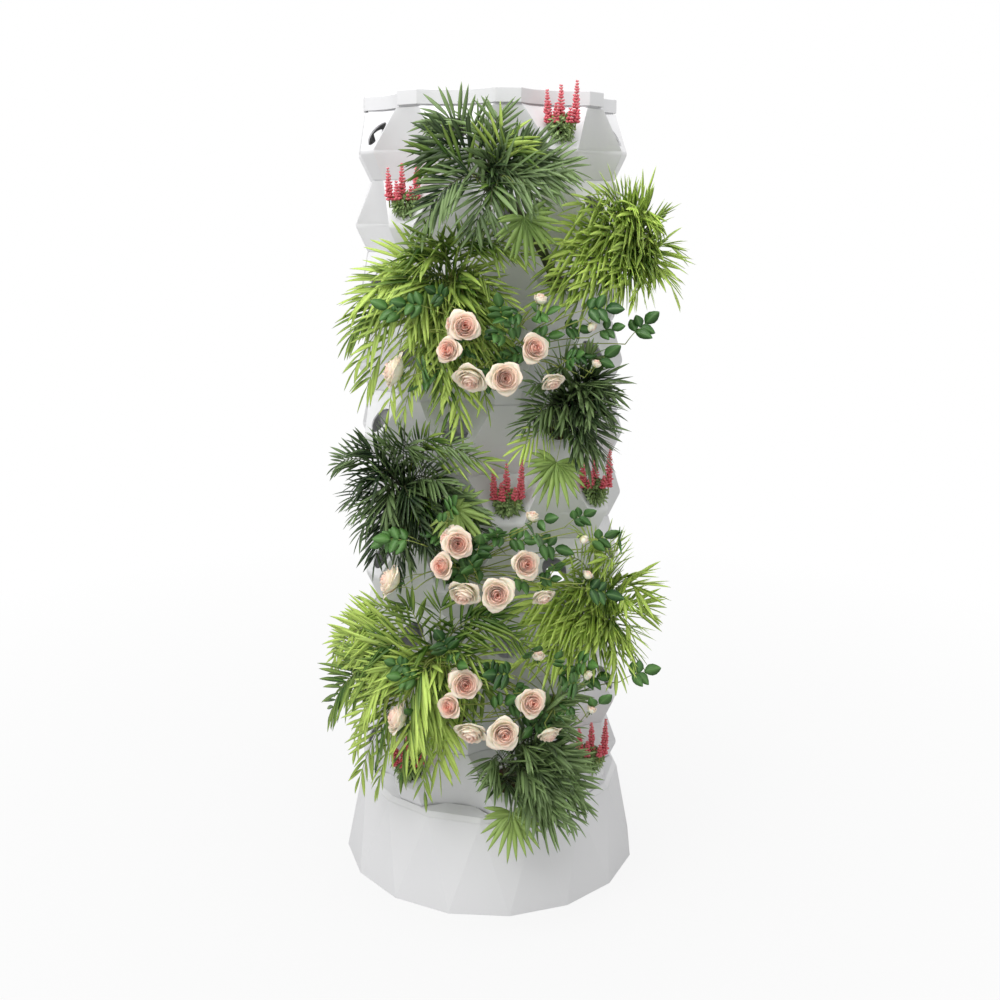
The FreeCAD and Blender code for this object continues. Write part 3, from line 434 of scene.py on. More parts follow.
class Finish:
    """A material, or the world, whose nodes are added one by one."""

    def __init__(self, name, owner=None, output="ShaderNodeOutputMaterial"):
        self.owner = owner or bpy.data.materials.new(name)
        self.owner.use_nodes = True
        self.tree = self.owner.node_tree
        self.tree.nodes.clear()
        self.output = self.tree.nodes.new(output)

    def add(self, kind, setup=None, sockets=None, out=0):
        """Adds a node: its settings first, then the values or links of its sockets."""
        node = self.tree.nodes.new(kind)
        for name, value in (setup or {}).items():
            if name == "stops":
                self.set_stops(node.color_ramp.elements, value)
            else:
                setattr(node, name, value)
        for name, value in (sockets or {}).items():
            socket = node.inputs[name]
            if isinstance(value, Wire):
                self.tree.links.new(value.socket, socket)
            elif value is not None:
                socket.default_value = value
        return Wire(self, node.outputs[out])

    @staticmethod
    def set_stops(elements, stops):
        while len(elements) < len(stops):
            elements.new(0.5)
        for element, (position, shade) in zip(elements, stops):
            element.position = position
            element.color = (*shade, 1)

    def place(self):
        return self.add("ShaderNodeTexCoord", out="Object")

    def noise(self, scale, detail=3.0, roughness=0.55):
        return self.add("ShaderNodeTexNoise", None, {"Vector": self.place(), "Scale": scale, "Detail": detail,
                                                     "Roughness": roughness})

    def mix(self, part, low, high):
        low = low if isinstance(low, Wire) else (*low, 1)
        high = high if isinstance(high, Wire) else (*high, 1)
        return self.add("ShaderNodeMix", {"data_type": "RGBA"}, {0: part, 6: low, 7: high}, 2)

    def growth(self):
        """Along, across and chance values of the mesh."""
        value = self.add("ShaderNodeAttribute", {"attribute_name": "growth"}, None, "Color")
        parts = self.add("ShaderNodeSeparateColor", None, {0: value})
        return parts, *(Wire(self, parts.socket.node.outputs[i]) for i in (1, 2))

    def ramp(self, part, *stops):
        return self.add("ShaderNodeValToRGB", {"stops": stops}, {0: part})

    def bump(self, height, strength, distance):
        sockets = {"Height": height, "Strength": strength, "Distance": distance}
        return self.add("ShaderNodeBump", None, sockets)

    def coat(self, **sockets):
        """Ends the finish with its shader."""
        named = {name.replace("_", " "): value for name, value in sockets.items()}
        return self.end(self.add("ShaderNodeBsdfPrincipled", None, named))

    def end(self, shader):
        self.tree.links.new(shader.socket, self.output.inputs["Surface"])
        return self.owner


def moulded_plastic(name, shade, rough, grain=900.0, bump=0.06):
    """Satin moulded plastic: a fine skin, slow changes of gloss and a trace of dust."""
    finish = Finish(name)
    cloud = finish.noise(5.0, 4.0)
    skin = finish.noise(grain, 2.0)
    dull = tuple(value * 0.955 for value in shade)
    tone = finish.mix(cloud * 0.7 + skin * 0.15, shade, dull)
    gloss = cloud * 0.12 + skin * 0.08 + (rough - 0.10)
    return finish.coat(Base_Color=tone, Roughness=gloss, Normal=finish.bump(skin, bump, 0.0004),
                       Specular_IOR_Level=0.42)


def rubber(name, shade):
    """Matt rubber with a fine tooth."""
    finish = Finish(name)
    tooth = finish.noise(1400.0, 2.0)
    tone = finish.mix(tooth, shade, tuple(value * 1.7 for value in shade))
    return finish.coat(Base_Color=tone, Roughness=tooth * 0.2 + 0.7, Normal=finish.bump(tooth, 0.3, 0.0004))


def drawn_steel(name):
    """Bright drawn wire."""
    finish = Finish(name)
    streak = finish.add("ShaderNodeTexNoise", None, {"Vector": finish.place(), "Scale": 700.0, "Detail": 2.0,
                                                     "Distortion": 0.4})
    tone = finish.mix(streak, (0.52, 0.52, 0.53), (0.64, 0.64, 0.65))
    return finish.coat(Base_Color=tone, Roughness=streak * 0.2 + 0.22, Metallic=1.0)


def leaf_finish(name, dark, light, rib, gloss=0.42, veins=26.0):
    """Leaf: darker at its foot, lit towards its end, a pale midrib and fine veins along it."""
    finish = Finish(name)
    along, across, chance = finish.growth()
    cloud = finish.noise(38.0, 3.0)
    # The chance value moves a leaf from the shaded colour to the sunlit one; on the palms it also carries
    # painted light and painted shade
    tone = finish.mix(along * 0.35 + chance * 0.90 + cloud * 0.4 - 0.30, dark, light)
    midrib = finish.ramp(across, (0.0, (1, 1, 1)), (0.16, (0.25, 0.25, 0.25)), (0.3, (0, 0, 0)))
    tone = finish.mix(midrib * 0.45, tone, rib)
    vein = finish.add("ShaderNodeMath", {"operation": "SINE"}, {0: across * veins})
    return finish.coat(Base_Color=tone, Roughness=cloud * 0.18 + (gloss - 0.09),
                       Normal=finish.bump(vein * 0.5 + midrib * 0.8, 0.35, 0.0006), Specular_IOR_Level=0.4,
                       Subsurface_Weight=0.06, Subsurface_Radius=(0.004, 0.008, 0.002))


def petal_finish(name, heart, blush, cream):
    """Rose petal: warm in the heart, cream outside, yellow-green at its foot, blushed along its rim."""
    finish = Finish(name)
    along, rank, chance = finish.growth()
    tone = finish.ramp(rank * 0.75 + chance * 0.45 - 0.12,
                       (0.0, heart), (0.30, blush), (0.72, cream), (1.0, cream))
    rim = finish.ramp(along, (0.0, (0, 0, 0)), (0.80, (0, 0, 0)), (1.0, (1, 1, 1)))
    tone = finish.mix(rim * 0.40, tone, blush)
    foot = finish.ramp(along, (0.0, (1, 1, 1)), (0.25, (0.75, 0.75, 0.75)), (0.55, (0, 0, 0)))
    tone = finish.mix(foot * 0.75, tone, (0.86, 0.80, 0.30))
    crease = finish.noise(240.0, 3.0)
    return finish.coat(Base_Color=tone, Roughness=crease * 0.15 + 0.5,
                       Normal=finish.bump(crease, 0.18, 0.0006), Specular_IOR_Level=0.3,
                       Subsurface_Weight=0.25, Subsurface_Radius=(0.012, 0.007, 0.005))


def floret_finish(name, shade, tip):
    """Lupin florets: deep pink-red, paler towards the end of the spike."""
    finish = Finish(name)
    along, rank, chance = finish.growth()
    tone = finish.mix(rank * 0.75 + chance * 0.35 - 0.1, shade, tip)
    tone = finish.mix(along * 0.30, tone, (0.90, 0.45, 0.45))
    grain = finish.noise(500.0, 2.0)
    return finish.coat(Base_Color=tone, Roughness=grain * 0.2 + 0.5, Normal=finish.bump(grain, 0.2, 0.0004),
                       Subsurface_Weight=0.08, Subsurface_Radius=(0.006, 0.002, 0.002))


def soil_finish(name):
    """Damp growing medium round the roots."""
    finish = Finish(name)
    crumb = finish.noise(420.0, 4.0, 0.7)
    tone = finish.mix(crumb, (0.045, 0.028, 0.016), (0.16, 0.10, 0.06))
    return finish.coat(Base_Color=tone, Roughness=crumb * 0.2 + 0.75, Normal=finish.bump(crumb, 0.6, 0.0015))


def floor_finish(name, near=0.86, fade=0.06):
    """White floor that shows mostly its own white to the camera, more so far off, and keeps the shadow."""
    finish = Finish(name)
    grain = finish.noise(30.0, 3.0)
    tone = finish.mix(grain, (0.50, 0.50, 0.50), (0.52, 0.52, 0.52))
    lit = finish.add("ShaderNodeBsdfPrincipled", None, {"Base Color": tone, "Roughness": grain * 0.1 + 0.8})
    white = finish.add("ShaderNodeEmission", None, {"Color": (1, 1, 1, 1), "Strength": 1.0})
    path = finish.add("ShaderNodeLightPath", None, None, "Is Camera Ray")
    far = finish.add("ShaderNodeVectorMath", {"operation": "LENGTH"}, {0: finish.place()}, "Value")
    share = finish.add("ShaderNodeMath", {"operation": "MULTIPLY_ADD", "use_clamp": True},
                       {0: far, 1: fade, 2: near})
    return finish.end(finish.add("ShaderNodeMixShader", None, {0: path * share, 1: lit, 2: white}))


def studio_sky(name, strength):
    """Soft light from all round, which the camera, glass and metal see as white."""
    finish = Finish(name, bpy.data.worlds.new(name), "ShaderNodeOutputWorld")
    rays = [finish.add("ShaderNodeLightPath", None, None, "Is %s Ray" % ray)
            for ray in ("Camera", "Transmission", "Glossy")]
    sky, white = (finish.add("ShaderNodeBackground", None, {"Color": (1, 1, 1, 1), "Strength": level})
                  for level in (strength, 1.0))
    seen = rays[0].either(rays[1]).either(rays[2])
    return finish.end(finish.add("ShaderNodeMixShader", None, {0: seen, 1: sky, 2: white}))


FINISHES = {}


def make_finishes():
    colours = settings("colours")
    paint = {name: tuple(getattr(colours, name)) for name in PlanterColours.__annotations__}
    FINISHES.update({
        "shell": moulded_plastic("shell_satin_white", paint["shell"], 0.36),
        "base": moulded_plastic("base_satin_white", paint["shell"], 0.40),
        "cup": moulded_plastic("cup_white", paint["cup"], 0.45),
        "pump": moulded_plastic("pump_dark_plastic", (0.03, 0.035, 0.045), 0.5),
        "strainer": moulded_plastic("strainer_black_plastic", (0.02, 0.02, 0.022), 0.55),
        "pipe": moulded_plastic("pipe_grey_plastic", (0.60, 0.60, 0.58), 0.38),
        "dish": moulded_plastic("dish_white_plastic", (0.70, 0.71, 0.71), 0.42),
        "tap": moulded_plastic("tap_black_plastic", (0.03, 0.03, 0.032), 0.45),
        "lever": moulded_plastic("lever_red_plastic", (0.42, 0.03, 0.025), 0.34),
        "rubber": rubber("black_rubber", (0.025, 0.025, 0.025)),
        "steel": drawn_steel("pin_steel"),
        "bright": leaf_finish("bright_palm_leaf", paint["bright_leaf"], paint["bright_tip"],
                              (0.34, 0.50, 0.10), 0.40),
        "dark": leaf_finish("dark_palm_leaf", paint["dark_leaf"], paint["dark_tip"], (0.10, 0.17, 0.05),
                            0.34),
        "fan": leaf_finish("pale_fan_leaf", paint["fan_leaf"], paint["fan_tip"], (0.34, 0.46, 0.16), 0.42),
        "rose_leaf": leaf_finish("rose_leaf", paint["rose_leaf"], paint["rose_leaf_tip"], (0.16, 0.30, 0.09),
                                 0.34),
        "stem": leaf_finish("green_stem", (0.16, 0.22, 0.04), (0.36, 0.42, 0.10), (0.30, 0.36, 0.09), 0.45),
        "dark_stem": leaf_finish("dark_stem", (0.045, 0.05, 0.02), (0.10, 0.12, 0.05), (0.09, 0.10, 0.04),
                                 0.5),
        "lupin_leaf": leaf_finish("lupin_leaf", (0.05, 0.13, 0.02), (0.34, 0.50, 0.16), (0.45, 0.58, 0.26),
                                  0.48),
        "petal": petal_finish("rose_petal", paint["rose_heart"], paint["rose_blush"], paint["rose_cream"]),
        "floret": floret_finish("lupin_floret", paint["lupin"], paint["lupin_tip"]),
        "soil": soil_finish("growing_medium"),
    })


# Tower shell

def arc(start, end, sag, steps):
    """Points from start towards end on an arc that bulges towards the axis by the sag."""
    if abs(sag) < 1e-5:
        return [lerp(start, end, i / steps) for i in range(steps)]
    chord = end - start
    half = chord.length / 2
    middle = (start + end) / 2
    inwards = -outwards(middle)
    radius = (half * half + sag * sag) / (2 * sag)
    centre = middle + inwards * (sag - radius)
    reach = math.asin(clamp(half / radius, -1, 1))
    unit = chord.normalized()
    points = []
    for i in range(steps):
        turn = lerp(-reach, reach, i / steps)
        points.append(centre + inwards * (radius * math.cos(turn)) + unit * (radius * math.sin(turn)))
    return points


def valley_reach(sizes):
    """Axis to the middle of a pocket's curved upper edge."""
    corner = beside(-sizes.foot_width / 2, sizes.foot_apothem, 180 / sizes.pockets, 0)
    return corner.dot(polar(1, 0, 0)) - sizes.valley


def shell_section(height, sizes, pocket_steps=10, between_steps=14):
    """Outline of a tier at one height over its foot: flat or hollow pockets between smooth hollow panels."""
    top = TIER_PITCH
    narrow, lip_half = sizes.foot_width / 2, sizes.lip_width / 2
    band = sizes.lip_height - sizes.lip_band
    step = 360 / sizes.pockets
    valley_out = valley_reach(sizes)
    ring, corners = [], []
    for k in range(sizes.pockets):
        here = step * k
        ends = []
        for side in (-1, 1):
            lip = beside(side * lip_half, sizes.lip_apothem, here, height)
            if height >= sizes.lip_height:
                corner = beside(-side * narrow, sizes.foot_apothem, here + side * step / 2, height)
                ends.append(lerp(lip, corner, (height - sizes.lip_height) / (top - sizes.lip_height)))
            elif height >= band:
                ends.append(lip)
            else:
                foot = beside(side * narrow, sizes.foot_apothem, here, height)
                ends.append(lerp(foot, lip, height / band))
        outward = polar(1, here, 0)
        sag = 0.0
        if height > sizes.lip_height:
            part = (height - sizes.lip_height) / (top - sizes.lip_height)
            sag = ((ends[0] + ends[1]) / 2).dot(outward) - lerp(sizes.lip_apothem, valley_out, part)
        turned = turn_about_axis(ends[0], step)
        panel_out = lerp(valley_out, sizes.foot_apothem, height / top)
        panel_sag = ((ends[1] + turned) / 2).dot(polar(1, here + step / 2, 0)) - panel_out
        corners.append(len(ring))
        ring.extend(arc(ends[0], ends[1], sag, pocket_steps))
        corners.append(len(ring))
        ring.extend(arc(ends[1], turned, panel_sag, between_steps))
    return rounded(ring, corners, sizes.ridge)


def turn_about_axis(point, degrees):
    turn = math.radians(degrees)
    return Vector((point.x * math.cos(turn) - point.y * math.sin(turn),
                   point.x * math.sin(turn) + point.y * math.cos(turn), point.z))


def rounded(ring, corners, reach):
    """The ring with each named corner replaced by a short curve."""
    marked = set(corners)
    result = []
    count = len(ring)
    for i, point in enumerate(ring):
        if i not in marked:
            result.append(point)
            continue
        before = point + (ring[i - 1] - point).normalized() * reach
        after = point + (ring[(i + 1) % count] - point).normalized() * reach
        result += [before, (before + after + point * 2) / 4, after]
    return result


def scaled(ring, change):
    """The ring drawn in or out by a length, along each corner's direction from the axis."""
    moved = []
    for point in ring:
        radius = radius_of(point)
        moved.append(Vector((point.x * (1 + change / radius), point.y * (1 + change / radius), point.z)))
    return moved


def skin(shape, rings, capped=False):
    """Faces through rings of as many corners each."""
    points = [point for ring in rings for point in ring]
    levels, sides = len(rings), len(rings[0])
    faces = quads(levels, sides) + (caps(levels, sides) if capped else [])
    shape.add(points, faces, [(0.5, 0.5, 0.5)] * len(points))


def pocket_frame(sizes):
    """Middle of a planting hole at the front, and the way out of it."""
    slope = Vector((0, sizes.lip_apothem - valley_reach(sizes), TIER_PITCH - sizes.lip_height)).normalized()
    lip = Vector((0, -sizes.lip_apothem, sizes.lip_height))
    return lip + slope * sizes.hole_offset, Vector((0, -slope.z, slope.y))


def tier_mesh(sizes, necked):
    """One tier at the origin, with its planting holes; the top one steps in under the lid's skirt."""
    soft, edge, step, corner = 0.0013, 0.0005, 0.0009, 0.0004
    lip, band = sizes.lip_height, sizes.lip_height - sizes.lip_band
    levels = [(0, -sizes.groove), (step, -sizes.groove), (step + corner, 0)]
    levels += [(height, 0) for height in (0.012, 0.024, 0.036)]
    for ridge in (band, lip):
        levels += [(ridge - soft, 0), (ridge, -edge), (ridge + soft, 0)]
    levels += [(height, 0) for height in (0.062, 0.072, 0.084, 0.096, 0.108, 0.118)]
    inwards = sizes.neck if necked else sizes.groove
    shoulder = TIER_PITCH - (sizes.lid_overlap + 0.0038 if necked else step)
    levels += [(shoulder - corner, 0), (shoulder, -inwards), (TIER_PITCH, -inwards)]
    shape = Shape()
    skin(shape, [scaled(shell_section(height, sizes), change) for height, change in levels])
    tier = shape.build("tier_pattern", [FINISHES["shell"]])
    wall = tier.modifiers.new("wall", "SOLIDIFY")
    wall.thickness = sizes.wall
    wall.offset = -1
    wall.use_even_offset = True
    drills = Shape()
    middle, out = pocket_frame(sizes)
    for k in range(sizes.pockets):
        angle = 360 / sizes.pockets * k
        centre, axis = turn_about_axis(middle, angle), turn_about_axis(out, angle)
        tube(drills, [centre - axis * 0.02, centre + axis * 0.02], [sizes.hole_radius] * 2, 40, 0)
    drill = drills.build("planting_holes", [FINISHES["shell"]])
    holes = tier.modifiers.new("holes", "BOOLEAN")
    holes.operation = "DIFFERENCE"
    holes.object = drill
    holes.solver = "EXACT"
    applied(tier, "tier_pattern")
    bpy.data.objects.remove(drill)
    flatten(tier)
    mesh = tier.data
    bpy.data.objects.remove(tier)
    return mesh


def flatten(piece, sharp=38):
    """Keeps wide faces flat, so that only the narrow ones between them take the light round a ridge."""
    soften(piece.data, sharp)
    weigh = piece.modifiers.new("flat_faces", "WEIGHTED_NORMAL")
    weigh.keep_sharp = True
    weigh.weight = 90
    applied(piece, piece.data.name)


def lid_mesh(sizes):
    """The lid: a skirt along the top tier's outline and a raised middle."""
    level = TIER_PITCH
    around = shell_section(level, sizes)
    base = scaled(around, sizes.lid_margin)
    edge = 0.002

    def ring(change, height):
        return [Vector((point.x, point.y, height)) for point in scaled(base, change)]

    def disc(radius, height):
        return [polar(radius, angle_of(point), height) for point in base]

    high, wall = sizes.lid_height, sizes.wall
    middle = sizes.foot_apothem * 0.74
    pip = 0.002
    rings = [disc(pip, high + sizes.lid_crown - wall), disc(middle * 0.9, high - wall),
             ring(-wall - 0.003, high - wall), ring(-wall - 0.003, 0.0004),
             ring(-sizes.lid_margin + 0.0004, -sizes.lid_overlap + 0.0004), ring(-0.0004, -sizes.lid_overlap),
             ring(0, -sizes.lid_overlap + 0.0008), ring(0, high - edge), ring(-edge * 0.3, high - edge * 0.3),
             ring(-edge, high), ring(-edge * 2, high), disc(middle, high), disc(middle * 0.9, high + 0.0006),
             disc(middle * 0.4, high + sizes.lid_crown - 0.0006), disc(middle * 0.3, high + sizes.lid_crown),
             disc(pip, high + sizes.lid_crown)]
    shape = Shape()
    skin(shape, rings, True)
    return shape


class PLANTER_OT_shell(bpy.types.Operator):
    """Moulds the ten tiers and the lid"""
    bl_idname = "planter.shell"
    bl_label = "Mould Tiers and Lid"

    def execute(self, context):
        sizes = settings("shell")
        patterns = [tier_mesh(sizes, necked) for necked in (False, True)]
        for up, node in enumerate(reversed(TIERS)):
            turned = 180 / sizes.pockets if int(node[-2:]) % 2 else 0.0
            mesh = patterns[node == TIERS[0]].copy()
            lift = Vector((0, 0, STACK_FOOT + up * TIER_PITCH))
            for vertex in mesh.vertices:
                vertex.co = turn_about_axis(vertex.co, turned) + lift
            piece = bpy.data.objects.new(node + "_moulding", mesh)
            mesh.name = piece.name
            context.scene.collection.objects.link(piece)
            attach(piece, "tower")
            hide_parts(node)
        for pattern in patterns:
            bpy.data.meshes.remove(pattern)
        shape = lid_mesh(sizes)
        turned = 180 / sizes.pockets
        shape.points = [turn_about_axis(point, turned) + Vector((0, 0, STACK_TOP)) for point in shape.points]
        lid = shape.build("lid_moulding", [FINISHES["shell"]])
        flatten(lid)
        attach(lid, "lid")
        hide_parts("top_lid")
        return {"FINISHED"}


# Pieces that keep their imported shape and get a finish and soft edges

KEPT = {
    "base_tank": ("base", 1.0), "base_cover": ("base", 1.0), "fill_flap": ("base", 0.25),
    "flap_pin": ("steel", 0), "pump_body": ("pump", 0.4), "pump_strainer": ("strainer", 0),
    "pump_suckers": ("rubber", 0.15), "riser_lower": ("pipe", 0), "riser_upper": ("pipe", 0),
    "distributor_dish": ("dish", 0.15), "spray_head": ("dish", 0.1), "tap_body": ("tap", 0.1),
    "tap_nut": ("tap", 0.2), "tap_lever": ("lever", 0.2), "cable_grommet": ("rubber", 0.15),
}


class PLANTER_OT_base(bpy.types.Operator):
    """Finishes the water base, the tap and the pieces inside"""
    bl_idname = "planter.base"
    bl_label = "Finish Base and Fittings"

    def execute(self, context):
        reach = settings("shell").base_bevel
        for node, (finish, part) in KEPT.items():
            piece = frame["nodes"][node]
            piece.data.materials.clear()
            piece.data.materials.append(FINISHES[finish])
            piece.data.polygons.foreach_set("material_index", [0] * len(piece.data.polygons))
            if part > 0:
                weld = piece.modifiers.new("weld", "WELD")
                weld.merge_threshold = 0.00002
                bevel = piece.modifiers.new("soft_edges", "BEVEL")
                bevel.width = reach * part
                bevel.segments = 3
                bevel.limit_method = "ANGLE"
                bevel.angle_limit = math.radians(9 if node == "base_tank" else 24)
                bevel.harden_normals = True
        return {"FINISHED"}


# Net cups

PLANTED = sorted(body for body in frame["bodies"] if body.split("_")[0] in ("palm", "rose", "lupin"))


def cup_seat(plant):
    """Middle of a planted cup's rim and its way out of the pocket."""
    axis = Vector(next(joint["axis"] for joint in frame["joints"] if joint["child"] == plant))
    cup = frame["nodes"]["%s_cup_%s" % tuple(plant.rsplit("_", 1))]
    corners = [vertex.co for vertex in cup.data.vertices]
    top = max(corner.dot(axis) for corner in corners)
    rim = [corner for corner in corners if top - corner.dot(axis) < 0.0001]
    return sum(rim, Vector()) / len(rim), axis.normalized()


def net_cup(seat, axis, sizes, seed):
    """A ribbed cup below its seat: collar, hoops, foot ring and ribs, with growing medium in its mouth."""
    mouth, foot, deep, rim, thick = sizes.mouth, sizes.foot, sizes.depth, sizes.rim, 0.0014
    shape = Shape()
    revolve(shape, seat, axis, [(mouth - thick, 0.0), (rim - 0.0004, 0.0), (rim, -0.0008), (rim, -0.0016),
                                (rim - 0.0006, -0.0019), (mouth, -0.0019), (mouth, -0.006),
                                (mouth - thick, -0.006)], 40, 0)
    for level in (0.36, 0.62, 0.88):
        radius, high = lerp(mouth, foot, level), -deep * level
        revolve(shape, seat, axis, [(radius, high), (radius, high - 0.0018), (radius - thick, high - 0.0018),
                                    (radius - thick, high)], 32, 0)
    revolve(shape, seat, axis, [(foot, -deep + 0.002), (foot, -deep), (0.004, -deep), (0.004, -deep + 0.002)],
            32, 0)
    side, other = sideways(axis)
    for k in range(sizes.ribs):
        out = spun(side, other, math.tau * k / sizes.ribs)
        ends = [seat + out * (mouth - 0.0008) - axis * 0.005, seat + out * (foot - 0.0008) - axis * deep]
        tube(shape, ends, [0.0010, 0.0009], 6, 0)
    revolve(shape, seat, axis, [(0.012, -0.0062), (mouth - 0.0022, -0.008), (mouth - 0.0024, -0.014),
                                (0.012, -0.014)], 30, 1, 0.0012, seed)
    revolve(shape, seat, axis, [(0.0005, -0.006), (0.0125, -0.0062), (0.0125, -0.013), (0.0005, -0.013)],
            24, 1, 0.0008, seed + 40)
    return shape


class PLANTER_OT_cups(bpy.types.Operator):
    """Moulds the ribbed net cups with their growing medium"""
    bl_idname = "planter.cups"
    bl_label = "Mould Net Cups"

    def execute(self, context):
        for index, plant in enumerate(PLANTED):
            shape = net_cup(*cup_seat(plant), settings("cups"), index)
            piece = shape.build(plant + "_net_cup", [FINISHES["cup"], FINISHES["soil"]], 40)
            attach(piece, plant)
            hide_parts("%s_cup_%s" % tuple(plant.rsplit("_", 1)))
        return {"FINISHED"}


# Palms

STYLES = {
    "b": {"long": 1.0, "wide": 1.0, "pairs": 1.0, "leaf": 0, "rib": 2, "droop": 0.12, "rise": 13},
    "d": {"long": 0.90, "wide": 0.95, "pairs": 1.2, "leaf": 1, "rib": 3, "droop": 0.10, "rise": 10},
    "f": {"long": 0.88, "wide": 1.30, "pairs": 1.0, "leaf": 4, "rib": 2, "droop": 0.16, "rise": 8},
}

# Each palm: usual style, heart, fronds. A heart or frond: angle, height, distance from the axis, own style

